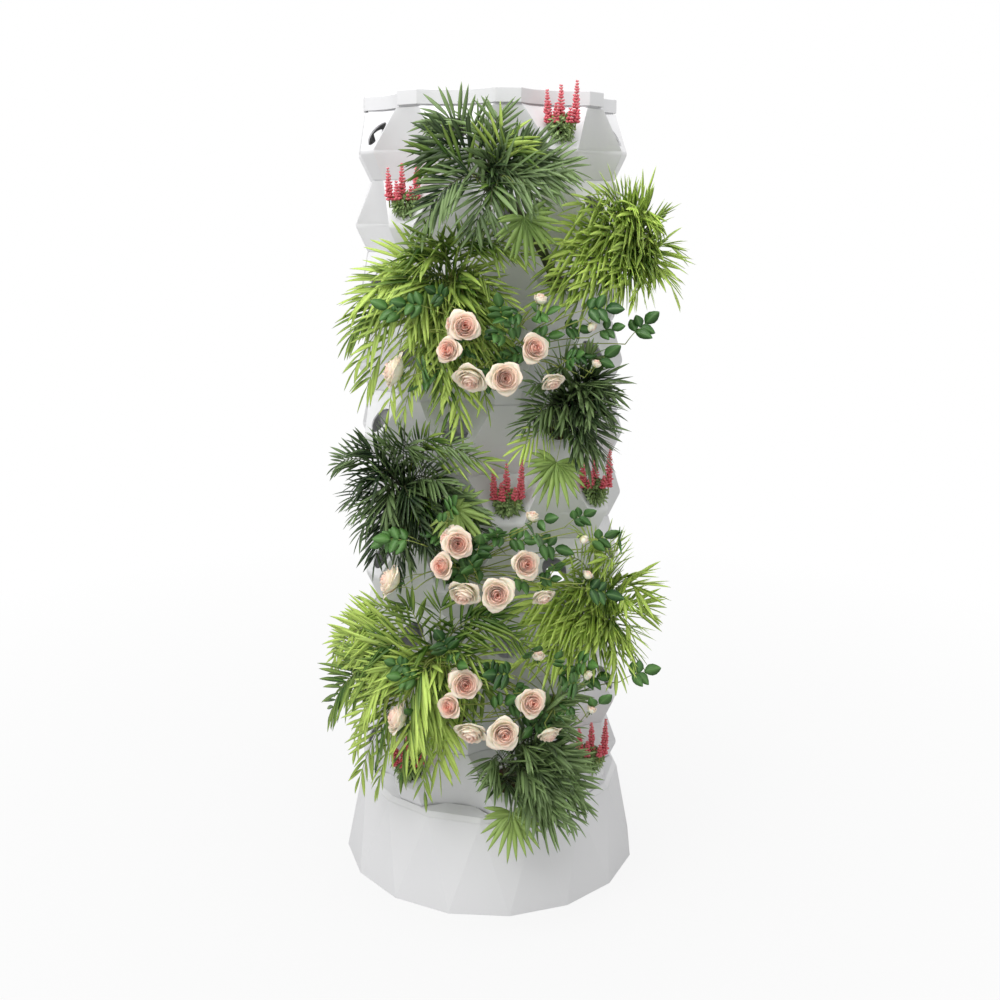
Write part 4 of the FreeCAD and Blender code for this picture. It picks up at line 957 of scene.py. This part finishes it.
PALMS = {
    "palm_1": ("d", (-7, 1.366, 0.310), [
        (-27, 1.500, 0.330), (-18, 1.490, 0.340), (-5, 1.503, 0.325), (-32, 1.420, 0.350, "b"),
        (-29, 1.445, 0.360), (10, 1.445, 0.340), (20, 1.397, 0.370), (16, 1.360, 0.375), (-30, 1.315, 0.350),
        (-32, 1.265, 0.350), (-8, 1.275, 0.375), (7, 1.262, 0.385, "f"), (10, 1.330, 0.375),
        (0, 1.470, 0.345, "b"), (5, 1.435, 0.355, "b"), (-13, 1.250, 0.370), (-22, 1.400, 0.335),
        (8, 1.390, 0.340), (14, 1.420, 0.350)]),
    "palm_2": ("b", None, [
        (-55, 1.150, 0.375), (-57, 1.078, 0.380), (-52, 1.015, 0.385), (-47, 0.978, 0.385),
        (-42, 0.935, 0.345), (-54, 1.106, 0.360), (-46, 1.228, 0.350), (-34, 1.276, 0.345),
        (-22, 1.298, 0.345), (-10, 1.298, 0.350), (-2, 1.277, 0.350), (7, 1.250, 0.345), (-30, 1.116, 0.380),
        (-23, 1.082, 0.340), (-20, 0.915, 0.330), (-41, 1.180, 0.365), (-14, 1.215, 0.350),
        (-4, 1.190, 0.340), (-30, 1.230, 0.360), (-27, 0.985, 0.325), (-12, 1.110, 0.325), (-3, 1.100, 0.320),
        (3, 1.150, 0.325), (-16, 1.030, 0.315), (-8, 0.985, 0.315), (-33, 1.040, 0.345), (0, 1.040, 0.310),
        (-32, 0.988, 0.345), (-22, 0.973, 0.340), (-13, 0.992, 0.330), (-7, 0.950, 0.325),
        (-36, 0.932, 0.345), (-16, 0.915, 0.330), (-4, 1.025, 0.320)]),
    "palm_3": ("b", None, [
        (67, 1.263, 0.392), (63, 1.160, 0.398), (50, 1.310, 0.380), (36, 1.362, 0.360), (25, 1.365, 0.350),
        (17, 1.348, 0.345), (13, 1.310, 0.345), (8, 1.205, 0.345), (14, 1.145, 0.350), (22, 1.156, 0.380),
        (36, 1.162, 0.385), (46, 1.213, 0.390), (44, 1.345, 0.375), (7, 1.268, 0.340), (30, 1.260, 0.380),
        (22, 1.290, 0.370), (18, 1.230, 0.360), (12, 1.255, 0.350), (26, 1.215, 0.375), (33, 1.310, 0.375),
        (28, 1.335, 0.360), (40, 1.262, 0.385), (17, 1.180, 0.365), (30, 1.180, 0.380), (6, 1.217, 0.335),
        (9, 1.165, 0.340), (3, 1.149, 0.330)]),
    "palm_4": ("d", None, [
        (33, 0.966, 0.370), (29, 0.916, 0.375), (23, 0.868, 0.380), (10, 0.855, 0.385, "f"),
        (-1, 0.905, 0.365, "b"), (0, 0.945, 0.350), (4, 1.037, 0.345), (13, 1.078, 0.350), (25, 1.092, 0.355),
        (32, 1.034, 0.360), (18, 0.900, 0.390), (14, 0.975, 0.370), (24, 0.990, 0.380), (8, 0.990, 0.350),
        (20, 1.040, 0.365), (28, 0.870, 0.375)]),
    "palm_5": ("d", None, [
        (-66, 0.858, 0.368), (-58, 0.790, 0.372), (-54, 0.832, 0.365), (-54, 0.912, 0.350),
        (-43, 0.930, 0.340), (-31, 0.933, 0.345), (-22, 0.942, 0.340, "b"), (-12, 0.915, 0.345),
        (-4, 0.893, 0.350, "b"), (-55, 0.706, 0.360), (-48, 0.656, 0.350), (-37, 0.640, 0.345),
        (-25, 0.705, 0.350), (-11, 0.800, 0.365, "f"), (-57, 0.753, 0.365), (-30, 0.820, 0.370),
        (-40, 0.780, 0.375), (-18, 0.860, 0.360), (-46, 0.850, 0.365), (-22, 0.770, 0.350),
        (-26, 0.829, 0.345), (-19, 0.830, 0.340), (-7, 0.790, 0.345), (-33, 0.668, 0.345),
        (-18, 0.658, 0.335), (-3, 0.733, 0.335)]),
    "palm_6": ("b", None, [
        (57, 0.575, 0.372), (50, 0.630, 0.370), (42, 0.545, 0.370), (45, 0.458, 0.380), (34, 0.453, 0.375),
        (30, 0.740, 0.330), (22, 0.768, 0.330), (15, 0.727, 0.335), (31, 0.716, 0.350), (44, 0.674, 0.360),
        (10, 0.626, 0.330), (22, 0.518, 0.370), (14, 0.574, 0.350), (36, 0.620, 0.380), (26, 0.660, 0.360),
        (18, 0.650, 0.335), (5, 0.590, 0.325), (0, 0.560, 0.320), (8, 0.520, 0.330), (16, 0.480, 0.340),
        (27, 0.560, 0.370), (34, 0.520, 0.378), (22, 0.600, 0.355), (-1, 0.623, 0.330), (-1, 0.501, 0.330),
        (7, 0.492, 0.335)]),
    "palm_7": ("b", (-26, 0.500, 0.300), [
        (-80, 0.306, 0.364), (-73, 0.478, 0.360), (-75, 0.440, 0.362), (-63, 0.562, 0.355),
        (-54, 0.608, 0.345), (-36, 0.640, 0.340), (-22, 0.648, 0.340), (-10, 0.645, 0.345), (0, 0.626, 0.345),
        (7, 0.560, 0.350), (-57, 0.216, 0.350), (-48, 0.216, 0.345), (-59, 0.275, 0.355), (-33, 0.305, 0.380),
        (-24, 0.378, 0.370), (-70, 0.393, 0.362), (-57, 0.330, 0.360), (1, 0.488, 0.350), (-10, 0.454, 0.355),
        (-45, 0.480, 0.370), (-30, 0.560, 0.365), (-14, 0.560, 0.365), (-45, 0.380, 0.370),
        (-18, 0.340, 0.345), (-12, 0.380, 0.330), (-6, 0.520, 0.335), (-20, 0.440, 0.350), (-2, 0.420, 0.325),
        (-38, 0.250, 0.345), (-28, 0.225, 0.345), (-26, 0.341, 0.345), (-20, 0.317, 0.340),
        (-23, 0.262, 0.340)]),
    "palm_8": ("d", None, [
        (0, 0.222, 0.400, "f"), (14, 0.205, 0.395), (20, 0.203, 0.390), (25, 0.225, 0.385),
        (25, 0.262, 0.380), (22, 0.318, 0.375), (16, 0.363, 0.370), (8, 0.235, 0.395), (14, 0.440, 0.345),
        (23, 0.468, 0.345), (-7, 0.327, 0.385), (-9, 0.352, 0.380), (5, 0.374, 0.375), (12, 0.280, 0.390),
        (4, 0.290, 0.395), (20, 0.400, 0.360)]),
}

# Painted light on each palm's leaves: the palms on the right, in the key lamp's shade, are painted paler

PAINTED_LIGHT = {"palm_1": 0.15, "palm_2": 0.25, "palm_3": 0.60, "palm_4": 0.50, "palm_5": 0.05, "palm_6": 0.80,
        "palm_7": 0.25, "palm_8": 0.65}
# The most painted light a leaf's tone may reach
LIGHTEST_PAINTED_TONE = 1.5
# Painted shade on the inner fronds: their leaves are this much darker, standing in for the shade inside a
# palm
INNER_PAINTED_SHADE = 0.45
FROND_SHADES = (-0.15, 0.1, 0.35, 0.65, 0.95)
RIB_STEPS = 14
LEAN_AT_FOOT, LEAN_AT_TIP = 60, 24
FAN_SPREAD = 118
LEAF_TURN = 2.4


def bowed(start, end, lift, steps):
    """Points on an arched line that goes round the tower from start to end."""
    middle = polar((radius_of(start) + radius_of(end)) / 2 + lift * 0.4,
                   (angle_of(start) + angle_of(end)) / 2, (start.z + end.z) / 2 + lift)
    handle = middle * 2 - (start + end) * 0.5
    points = []
    for i in range(steps + 1):
        part = i / steps
        points.append(start * (1 - part) ** 2 + handle * (2 * part * (1 - part)) + end * part ** 2)
    return points


def cleared(points, reach, free):
    """A line pushed out from the tower, but for its first points."""
    return [point if i < free else pushed(point, reach) for i, point in enumerate(points)]


def frond(shape, start, end, style, pale, chance, sizes, blooms):
    """One frond: an arching rib with pairs of leaflets that stand up in a V and bend over, or with a fan."""
    look = STYLES[style]
    reach = (end - start).length
    scale = chance.uniform(0.72, 1.12)
    longest = sizes.leaflet * look["long"] * (1.0 if style == "f" else scale)
    end = lerp(start, end, 1 - min(0.5, (0.8 if style == "f" else 0.5) * longest / reach))
    longest = min(longest, reach * 0.75)
    rise = clamp(reach * 0.2, 0.008, 0.06) * chance.uniform(0.6, 1.4)
    clear = sizes.clearance
    line = cleared(bowed(start, end, rise, RIB_STEPS), clear + 0.004, 3)
    radii = [sizes.rachis * lerp(1.0, 0.35, i / RIB_STEPS) for i in range(RIB_STEPS + 1)]
    tube(shape, line, radii, 5, look["rib"], chance.random())
    # The frond's tone: its palm's painted light plus a random step
    shade = pale + chance.choice(FROND_SHADES)
    wide = sizes.leaflet_width * look["wide"]
    if style == "f":
        facing = outwards(line[-1]) + UP * 0.5
        fan(shape, line[-1], line[-1] - line[-3], facing, longest, shade, chance, sizes)
        return
    roll = math.radians(chance.gauss(0, 18))
    pairs = max(5, round(sizes.pairs * look["pairs"] * clamp(reach / 0.17, 0.6, 1.2)))
    first = lerp(0.10, 0.34, clamp((reach - 0.06) / 0.16))
    for n in range(pairs):
        part = lerp(first, 0.985, (n + 0.5) / pairs)
        here = part * RIB_STEPS
        i = min(int(here), RIB_STEPS - 1)
        root = lerp(line[i], line[i + 1], here - i)
        along, flat, up = frame_along(line[i + 1] - line[i], outwards(root) + UP * 0.2)
        side = spun(flat, up, roll)
        face = up * math.cos(roll) - flat * math.sin(roll)
        swell = math.sin(math.pi * clamp(0.2 + part * 0.62))
        limit = clear if radius_of(root) > clear - 0.002 else None
        for hand in (-1, 1):
            lean = math.radians(lerp(LEAN_AT_FOOT, LEAN_AT_TIP, part) + chance.uniform(-9, 9))
            lift = math.radians(look["rise"] + chance.uniform(-14, 14))
            out = side * (hand * math.cos(lift)) + face * math.sin(lift)
            way = spun(along, out, lean)
            long = longest * swell * chance.uniform(0.82, 1.14)
            if hides(root + way * (long * 0.5), blooms) or hides(root + way * long, blooms):
                continue
            broad = wide * scale * chance.uniform(0.8, 1.15)
            tone = clamp(shade + chance.uniform(-0.25, 0.25), 0, LIGHTEST_PAINTED_TONE)
            droop = look["droop"] * chance.uniform(0.4, 1.6)
            blade(shape, root, way, face + side * (hand * 0.3), long, broad, look["leaf"], tone, LANCE, droop,
                  0.42, limit)
    blade(shape, line[-1], line[-1] - line[-2], UP, longest * 0.6, wide, look["leaf"], shade, LANCE,
          look["droop"] * 0.6, 0.4, clear)


def fan(shape, hub, direction, facing, longest, shade, chance, sizes):
    """A pleated fan of leaflets round the end of a rib."""
    look = STYLES["f"]
    along, side, face = frame_along(direction, facing)
    for n in range(sizes.fan_leaves):
        degrees = lerp(-FAN_SPREAD, FAN_SPREAD, n / (sizes.fan_leaves - 1)) + chance.uniform(-4, 4)
        way = spun(along, side, math.radians(degrees)) + face * chance.uniform(0.0, 0.16)
        long = longest * lerp(1.0, 0.70, abs(degrees) / FAN_SPREAD) * chance.uniform(0.92, 1.06)
        tone = clamp(shade + chance.uniform(-0.15, 0.15), 0, LIGHTEST_PAINTED_TONE)
        blade(shape, hub, way, face, long, sizes.leaflet_width * look["wide"], look["leaf"], tone, LANCE,
              look["droop"] * chance.uniform(0.6, 1.4), 0.5, sizes.clearance)


def inner_fronds(fronds, count, chance):
    """Fronds that fill a palm's middle, each ending between three of the outer ones."""
    for _ in range(count):
        near = chance.sample(fronds, 3)
        angle, height, radius = (sum(each[i] for each in near) / 3 for i in range(3))
        yield angle, height, radius, "d" if near[0][3] == "d" else "b"


def leafy_crown(shape, seat, axis, count, long, wide, slot, chance, outline=FINGER):
    """Short leaves that stand round the foot of a plant."""
    side, other = sideways(axis)
    for n in range(count):
        out = spun(side, other, LEAF_TURN * n + chance.uniform(-0.3, 0.3))
        rise = chance.uniform(0.35, 1.6)
        start = seat + out * chance.uniform(0.002, 0.012) - axis * 0.004
        blade(shape, start, out + axis * rise, axis, long * chance.uniform(0.7, 1.15), wide, slot,
              chance.random(), outline, 0.25, 0.3)


class PLANTER_OT_palms(bpy.types.Operator):
    """Grows the palms"""
    bl_idname = "planter.palms"
    bl_label = "Grow Palms"

    def execute(self, context):
        sizes = settings("palms")
        finishes = [FINISHES[name] for name in ("bright", "dark", "stem", "dark_stem", "fan")]
        blooms = [place for plant in ROSES for place in rose_places(plant, settings("roses"))]
        for plant, (usual, heart, ends) in PALMS.items():
            fronds = [(*end, usual)[:4] for end in ends]
            chance = random.Random(plant)
            seat, axis = cup_seat(plant)
            shape = Shape()
            foot = seat - axis * 0.006
            dark = fronds[0][3] == "d"
            inner = list(inner_fronds(fronds, sizes.inner, chance))
            for n, (angle, height, radius, style) in enumerate(fronds + inner):
                # The palm's painted light, less the painted shade on its inner fronds
                pale = PAINTED_LIGHT[plant] - (INNER_PAINTED_SHADE if n >= len(fronds) else 0)
                jitter = shaken(chance, 1)
                start = foot + (jitter - axis * jitter.dot(axis)) * 0.008
                if heart is not None:
                    angle_at, height_at, radius_at = heart
                    parting = polar(radius_at, angle_at, height_at) + jitter * 0.012
                    if n % 3 == 0:
                        line = bowed(start, parting, 0.012, 8)
                        tube(shape, line, [0.0026] * len(line), 6, 3 if dark else 2, chance.random())
                    start = parting
                frond(shape, start, polar(radius, angle, height), style, pale, chance, sizes, blooms)
            leafy_crown(shape, seat - axis * 0.003, axis, 14, 0.03, 0.006, 1 if dark else 0, chance)
            piece = shape.build(plant + "_fronds", finishes, None)
            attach(piece, plant)
            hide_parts("palm_plant_" + plant[-1])
        return {"FINISHED"}


# Roses: turn and rise of each head about the spray's middle, reach, size, tint, and the way it faces

ROSE_HEADS = [
    (-31.0, -0.020, -0.006, 1.20, 0.75, (-0.75, 0.55, 0.35)),
    (-10.0, 0.062, 0.002, 1.02, 0.20, (0.30, 0.95, 0.25)),
    (-13.5, 0.066, -0.012, 0.82, 0.55, (-0.80, 0.55, 0.30)),
    (-14.3, 0.022, 0.008, 0.84, 0.05, (-0.25, 0.95, 0.20)),
    (-8.5, -0.029, 0.000, 1.12, 0.85, (-0.15, 0.75, -0.55)),
    (0.5, -0.024, 0.012, 1.10, 0.45, (0.05, 1.0, 0.10)),
    (8.5, 0.025, 0.000, 0.96, 0.25, (0.15, 0.95, 0.25)),
    (13.2, -0.035, 0.006, 0.78, 0.80, (0.15, 0.60, -0.60)),
]
ROSE_BUDS = [
    (10.7, 0.105, -0.016, 1.0, 0.95, (0.1, 0.3, 1.0)),
    (26.5, 0.057, -0.014, 0.78, 0.7, (0.5, 0.3, -0.6)),
    (27.6, -0.010, -0.010, 0.78, 0.6, (0.3, 0.3, 0.9)),
]

# Turn and rise of each sprig of leaves about the spray's middle

ROSE_SPRIGS = [(-26, 0.062), (-19, 0.086), (-14, 0.094), (-22, 0.050), (-5.6, 0.017), (-4.7, -0.008),
               (0.5, 0.056), (5.2, 0.065), (3.6, 0.036), (7.6, 0.084), (14.3, 0.069), (26.4, 0.036),
               (16.4, -0.013), (25.1, -0.034), (40.8, 0.019), (-24, -0.035), (21, 0.080)]
ROSES = {"rose_1": (-4, 1.062), "rose_2": (-6, 0.682), "rose_3": (-4, 0.426)}

GOLDEN_TURN = math.radians(137.5)
SEPALS = 5


def rose_places(plant, sizes):
    """Where a spray's heads and buds stand, and how large each is."""
    middle_angle, middle_height = ROSES[plant]
    heads = [(head, sizes.bloom) for head in ROSE_HEADS] + [(head, sizes.bud) for head in ROSE_BUDS]
    return [(polar(sizes.spray + head[2], middle_angle + head[0], middle_height + head[1]), most * head[3])
            for head, most in heads]


def hides(point, blooms):
    """Would a leaf at this point stand in front of a rose?"""
    for place, radius in blooms:
        outward = outwards(place)
        offset = point - place
        along = offset.dot(outward)
        if along > -radius and (offset - outward * along).length < radius * 1.2:
            return True
    return False


def petal(shape, place, axes, share, turn, radius, opened, tint, chance):
    """One cupped petal; its share goes from 0 in the high heart to 1 at the outside, which curls back."""
    side, other, axis = axes
    across, along = 6, 7
    base = -0.62
    reach = lerp(0.09, 1.0, share ** 0.9)
    rim = lerp(0.50, 0.06, share ** 1.7) + (0.30 if opened == 0 else 0.0)
    wrap = math.radians(lerp(120, 46, share ** 0.5))
    curl = opened * 0.30 * share ** 2.5
    wave = chance.uniform(0, math.tau)
    grown = clamp(tint + chance.uniform(-0.15, 0.15))
    points, growth, faces = [], [], []
    for v in range(along + 1):
        for u in range(across + 1):
            x = u / across * 2 - 1
            y = v / along * (1 - 0.17 * x * x) * (1 + 0.05 * (1 - abs(x)) ** 2)
            angle = turn + x * wrap * (0.35 + 0.65 * math.sin(math.pi * 0.55 * min(1.0, y + 0.08)))
            out = reach * (1 - (1 - min(y, 1.0)) ** 2.3) * (1 + 0.04 * x) + curl * y ** 7
            high = lerp(base, rim, y ** 1.25) - curl * 0.75 * y ** 7
            high += 0.045 * math.sin(3.1 * x + wave) * y * y
            points.append(place + (side * (math.cos(angle) * out) + other * (math.sin(angle) * out)
                                   + axis * high) * radius)
            growth.append((v / along, share, grown))
    for v in range(along):
        for u in range(across):
            low = v * (across + 1) + u
            faces.append((low, low + 1, low + across + 2, low + across + 1))
    shape.add(points, faces, growth, 0)


def rose_head(shape, place, direction, radius, petals, opened, tint, chance):
    """Petals on one spiral, from the closed heart to the open outside."""
    axis = direction.normalized()
    side, other = sideways(axis)
    turn = chance.uniform(0, math.tau)
    for n in range(petals):
        turn += GOLDEN_TURN
        petal(shape, place, (side, other, axis), (n + 0.5) / petals, turn + chance.uniform(-0.15, 0.15),
              radius * chance.uniform(0.94, 1.06), opened, tint, chance)


def calyx(shape, neck, direction, radius, chance):
    """The swelling under a rose's head, with its sepals."""
    revolve(shape, neck, direction, [(0.0006, -0.004), (radius * 0.14, -0.0015), (radius * 0.2, 0.001),
                                     (radius * 0.12, 0.003), (0.0006, 0.003)], 10, 1)
    side, other = sideways(direction)
    for k in range(SEPALS):
        out = spun(side, other, math.tau * k / SEPALS + chance.uniform(-0.2, 0.2))
        blade(shape, neck + out * radius * 0.1, out - direction * chance.uniform(0.1, 0.5), -direction,
              radius * 0.62, radius * 0.24, 0, chance.random(), LANCE, 0.0, 0.3)


def facing_way(degrees, way):
    """A direction given as sideways, outwards and upwards shares at an angle round the tower."""
    across, out, rise = way
    return (beside(across, out, degrees, 0) + UP * rise).normalized()


def sprig(shape, root, direction, long, chance, clear, blooms, leaves=5):
    """A rose leaf: a thin stalk with leaflets in pairs and one at its end, none of them inside a bloom."""
    along = direction.normalized()
    reach = long * 1.5
    end = root + along * reach - UP * reach * 0.12
    line = [lerp(root, end, i / 4) + Vector((0, 0, 0.004 * math.sin(math.pi * i / 4))) for i in range(5)]
    tube(shape, line, [0.0009, 0.0008, 0.0007, 0.0006, 0.0005], 5, 1, chance.random())
    facing = outwards(root) + UP * 0.6 + shaken(chance, 0.4)
    along, side, face = frame_along(end - root, facing)
    shade = chance.random()
    for n in range(leaves):
        if n == leaves - 1:
            spot, way, size = end, along, 1.0
        else:
            spot = line[2 + n // 2]
            way = along * 0.55 + side * (1 if n % 2 else -1)
            size = 0.82
        way = (way + face * chance.uniform(-0.1, 0.35)).normalized()
        length_now = long * size * chance.uniform(0.85, 1.1)
        tone = clamp(shade + chance.uniform(-0.25, 0.25))
        middle = spot + way * length_now * 0.6
        if all((middle - place).length > radius * 1.1 + length_now * 0.45 for place, radius in blooms):
            blade(shape, spot, way, face, length_now, long * 0.60 * size, 0, tone, OVATE, 0.15, 0.22, clear)


class PLANTER_OT_roses(bpy.types.Operator):
    """Grows the rose sprays"""
    bl_idname = "planter.roses"
    bl_label = "Grow Roses"

    def execute(self, context):
        sizes = settings("roses")
        clear = settings("palms").clearance
        heads = [(head, sizes.petals, 1.0) for head in ROSE_HEADS]
        heads += [(head, sizes.petals // 2, 0.0) for head in ROSE_BUDS]
        for plant, (middle_angle, middle_height) in ROSES.items():
            chance = random.Random(plant)
            seat, axis = cup_seat(plant)
            blooms, green = Shape(), Shape()
            places = rose_places(plant, sizes)
            for (place, radius), ((turn, _, _, _, tint, way), petals, opened) in zip(places, heads):
                direction = facing_way(middle_angle + turn, way)
                rose_head(blooms, place, direction, radius, petals, opened, tint, chance)
                neck = place - direction * (radius * 0.60)
                line = bowed(seat - axis * 0.006, neck - direction * 0.012, chance.uniform(0.0, 0.03), 12)
                line = [*cleared(line, clear + 0.012, 3), neck]
                radii = [lerp(sizes.stem, sizes.stem * 0.6, i / 13) for i in range(14)]
                tube(green, line, radii, 6, 1, chance.random())
                calyx(green, neck, direction, radius, chance)
                outward = outwards(line[8])
                way = outward.cross(UP) * chance.choice((-1, 1)) + UP * chance.uniform(-0.5, 0.7)
                sprig(green, line[8], way + outward * 0.2, sizes.leaf * chance.uniform(0.7, 1.0), chance,
                      clear, places)
            for turn, rise in ROSE_SPRIGS:
                spot = polar(sizes.spray - 0.022, middle_angle + turn, middle_height + rise)
                inner = lerp(seat, spot, 0.5) + Vector((0, 0, 0.02))
                line = [lerp(lerp(seat, inner, i / 8), lerp(inner, spot, i / 8), i / 8) for i in range(9)]
                tube(green, cleared(line, clear + 0.006, 2), [0.0011] * 9, 5, 1, chance.random())
                outward = outwards(spot)
                way = outward.cross(UP) * chance.uniform(-1, 1) + UP * chance.uniform(-0.2, 1.0)
                sprig(green, spot, way + outward * 0.3, sizes.leaf * chance.uniform(0.8, 1.15), chance,
                      clear, places)
            leafy_crown(green, seat - axis * 0.003, axis, 12, 0.03, 0.014, 0, chance, OVATE)
            petals = blooms.build(plant + "_petals", [FINISHES["petal"]], None)
            thick = petals.modifiers.new("petal_thickness", "SOLIDIFY")
            thick.thickness = 0.00045
            thick.offset = 0
            applied(petals, petals.name)
            leaves = green.build(plant + "_stems_and_leaves", [FINISHES["rose_leaf"], FINISHES["stem"]], None)
            for piece in (petals, leaves):
                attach(piece, plant)
            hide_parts("rose_plant_" + plant[-1])
        return {"FINISHED"}


# Lupins: spikes across and out from the crown, facing the front, with their share of the tallest

SPIKES = ((-0.025, 0.000, 0.78), (-0.002, -0.004, 0.90), (0.023, 0.000, 1.0), (-0.012, 0.008, 0.46),
          (0.011, 0.010, 0.34))
ROW_HEIGHT = 0.0050
LUPIN_LEAVES = 46
LEAF_FINGERS = 6


def floret(shape, root, direction, long, wide, slot, chance):
    """A small swollen blossom: a closed bud shape that is fullest past its middle."""
    along = direction.normalized()
    side, other = sideways(along)
    sides = 5
    points, growth = [], []
    for part, broad in ((0.0, 0.35), (0.45, 1.0), (0.8, 0.72)):
        for k in range(sides):
            out = spun(side, other, math.tau * k / sides)
            points.append(root + along * (long * part) + out * (wide / 2 * broad))
            growth.append((part, 1.0, chance))
    points.append(root + along * long)
    growth.append((1.0, 1.0, chance))
    faces = quads(3, sides)
    faces += [(2 * sides + k, 2 * sides + (k + 1) % sides, 3 * sides) for k in range(sides)]
    faces.append(tuple(range(sides - 1, -1, -1)))
    shape.add(points, faces, growth, slot)


def lupin_spike(shape, foot, across, part, sizes, chance):
    """A stalk with rows of florets that get fewer, shorter and more upright towards its end."""
    tall = sizes.spike * part
    head = foot + Vector((across * 0.12, -0.002, tall))
    tube(shape, [foot - UP * 0.012, lerp(foot, head, 0.5), head], [0.0014, 0.0011, 0.0005], 6, 2,
         chance.random())
    rows = round(tall / ROW_HEIGHT)
    for row in range(rows):
        level = (row + 0.5) / rows
        centre = lerp(foot, head, level)
        reach = sizes.spike_radius * lerp(1.0, 0.30, level ** 1.9) * lerp(0.8, 1.0, part)
        ring = 7 if level < 0.6 else 5
        for k in range(ring):
            spin = math.tau * (k + 0.5 * (row % 2)) / ring + chance.uniform(-0.2, 0.2)
            way = Vector((math.cos(spin), math.sin(spin), chance.uniform(-0.1, 0.5) + level ** 2))
            floret(shape, centre, way, reach * chance.uniform(0.85, 1.25) * way.length ** 0.5,
                   lerp(0.0064, 0.0036, level) * chance.uniform(0.8, 1.1), 1, chance.random())


def lupin_leaves(shape, seat, axis, sizes, chance):
    """Leaves of narrow fingers, from upright in the middle to hanging at the outside."""
    side, other = sideways(axis)
    for n in range(LUPIN_LEAVES):
        rise = 1.5 - 1.9 * n / LUPIN_LEAVES
        way = (spun(side, other, LEAF_TURN * n) + axis * rise).normalized()
        hub = seat + axis * 0.004 + way * chance.uniform(0.010, 0.021)
        across = side.lerp(axis, 0.4).cross(way).normalized()
        for finger in range(LEAF_FINGERS):
            lean = (finger - 2.5) * 0.62
            blade(shape, hub, spun(way, across, lean), axis, sizes.leaf * chance.uniform(0.75, 1.1),
                  0.0052, 0, chance.random(), FINGER, 0.2, 0.4)


class PLANTER_OT_lupins(bpy.types.Operator):
    """Grows the flower spikes"""
    bl_idname = "planter.lupins"
    bl_label = "Grow Lupins"

    def execute(self, context):
        sizes = settings("lupins")
        finishes = [FINISHES[name] for name in ("lupin_leaf", "floret", "stem")]
        for plant in (body for body in PLANTED if body.startswith("lupin")):
            chance = random.Random(plant)
            seat, axis = cup_seat(plant)
            shape = Shape()
            crown = seat + axis * 0.014
            for across, out, part in SPIKES:
                lupin_spike(shape, crown + Vector((across, -out, 0.002)), across, part, sizes, chance)
            lupin_leaves(shape, seat, axis, sizes, chance)
            for i, (point, (along, rank, tone)) in enumerate(zip(shape.points, shape.growth)):
                if rank > 0.5:
                    shape.growth[i] = (along, clamp((point.z - crown.z) / sizes.spike), tone)
            piece = shape.build(plant + "_spikes_and_leaves", finishes, None)
            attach(piece, plant)
            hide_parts("lupin_plant_" + plant[-1])
        return {"FINISHED"}


# Stage

def lamp(name, place, target, size, power):
    data = bpy.data.lights.new(name, "AREA")
    data.shape = "DISK"
    data.size = size
    data.energy = power
    light = bpy.data.objects.new(name, data)
    light.location = place
    light.rotation_euler = (Vector(target) - Vector(place)).to_track_quat("-Z", "Y").to_euler()
    bpy.context.scene.collection.objects.link(light)


class PLANTER_OT_stage(bpy.types.Operator):
    """Sets the floor, the lights and the camera"""
    bl_idname = "planter.stage"
    bl_label = "Set Stage"

    def execute(self, context):
        look = settings("stage")
        scene = context.scene
        scene.view_settings.view_transform = "Standard"
        floor = Shape()
        floor.add([Vector((x, y, -0.0006)) for x, y in ((-6, -6), (6, -6), (6, 6), (-6, 6))], [(0, 1, 2, 3)],
                  [(0, 0, 0)] * 4)
        floor.build("floor", [floor_finish("white_floor")])
        scene.world = studio_sky("soft_studio", look.sky)
        middle = (0, 0, 0.75)
        lamp("key_lamp", (-2.4, -2.8, 4.0), middle, 2.4, look.key)
        lamp("top_lamp", (-0.3, -1.2, 5.5), middle, 3.0, look.top)
        data = bpy.data.cameras.new("photograph")
        data.sensor_width = 36
        data.lens = look.lens
        data.shift_x, data.shift_y = look.shift
        camera = bpy.data.objects.new("photograph", data)
        camera.location = look.place
        camera.rotation_euler = (math.pi / 2 - look.tilt, 0, look.turn)
        scene.collection.objects.link(camera)
        scene.camera = camera
        return {"FINISHED"}


class PLANTER_PT_panel(bpy.types.Panel):
    """Lists the planter's steps"""
    bl_idname = "PLANTER_PT_panel"
    bl_label = "Planter Tower"
    bl_space_type = "VIEW_3D"
    bl_region_type = "UI"
    bl_category = "Planter"

    def draw(self, context):
        column = self.layout.column(align=True)
        for step in STEPS:
            column.operator(step.bl_idname)


STEPS = (PLANTER_OT_stage, PLANTER_OT_base, PLANTER_OT_shell, PLANTER_OT_cups, PLANTER_OT_palms,
         PLANTER_OT_roses, PLANTER_OT_lupins)
GROUPS = {"shell": PlanterShellSizes, "cups": PlanterCupSizes, "palms": PlanterPalmSizes,
          "roses": PlanterRoseSizes, "lupins": PlanterLupinSizes, "colours": PlanterColours,
          "stage": PlanterStage}
CLASSES = (*GROUPS.values(), *STEPS, PLANTER_PT_panel)


def register():
    for cls in CLASSES:
        bpy.utils.register_class(cls)
    for name, group in GROUPS.items():
        setattr(bpy.types.Scene, "planter_" + name, PointerProperty(type=group))


def unregister():
    for name in GROUPS:
        delattr(bpy.types.Scene, "planter_" + name)
    for cls in reversed(CLASSES):
        bpy.utils.unregister_class(cls)


def main():
    register()
    make_finishes()
    bpy.ops.planter.stage()
    bpy.ops.planter.base()
    bpy.ops.planter.shell()
    bpy.ops.planter.cups()
    bpy.ops.planter.palms()
    bpy.ops.planter.roses()
    bpy.ops.planter.lupins()


if __name__ == "__main__":
    main()
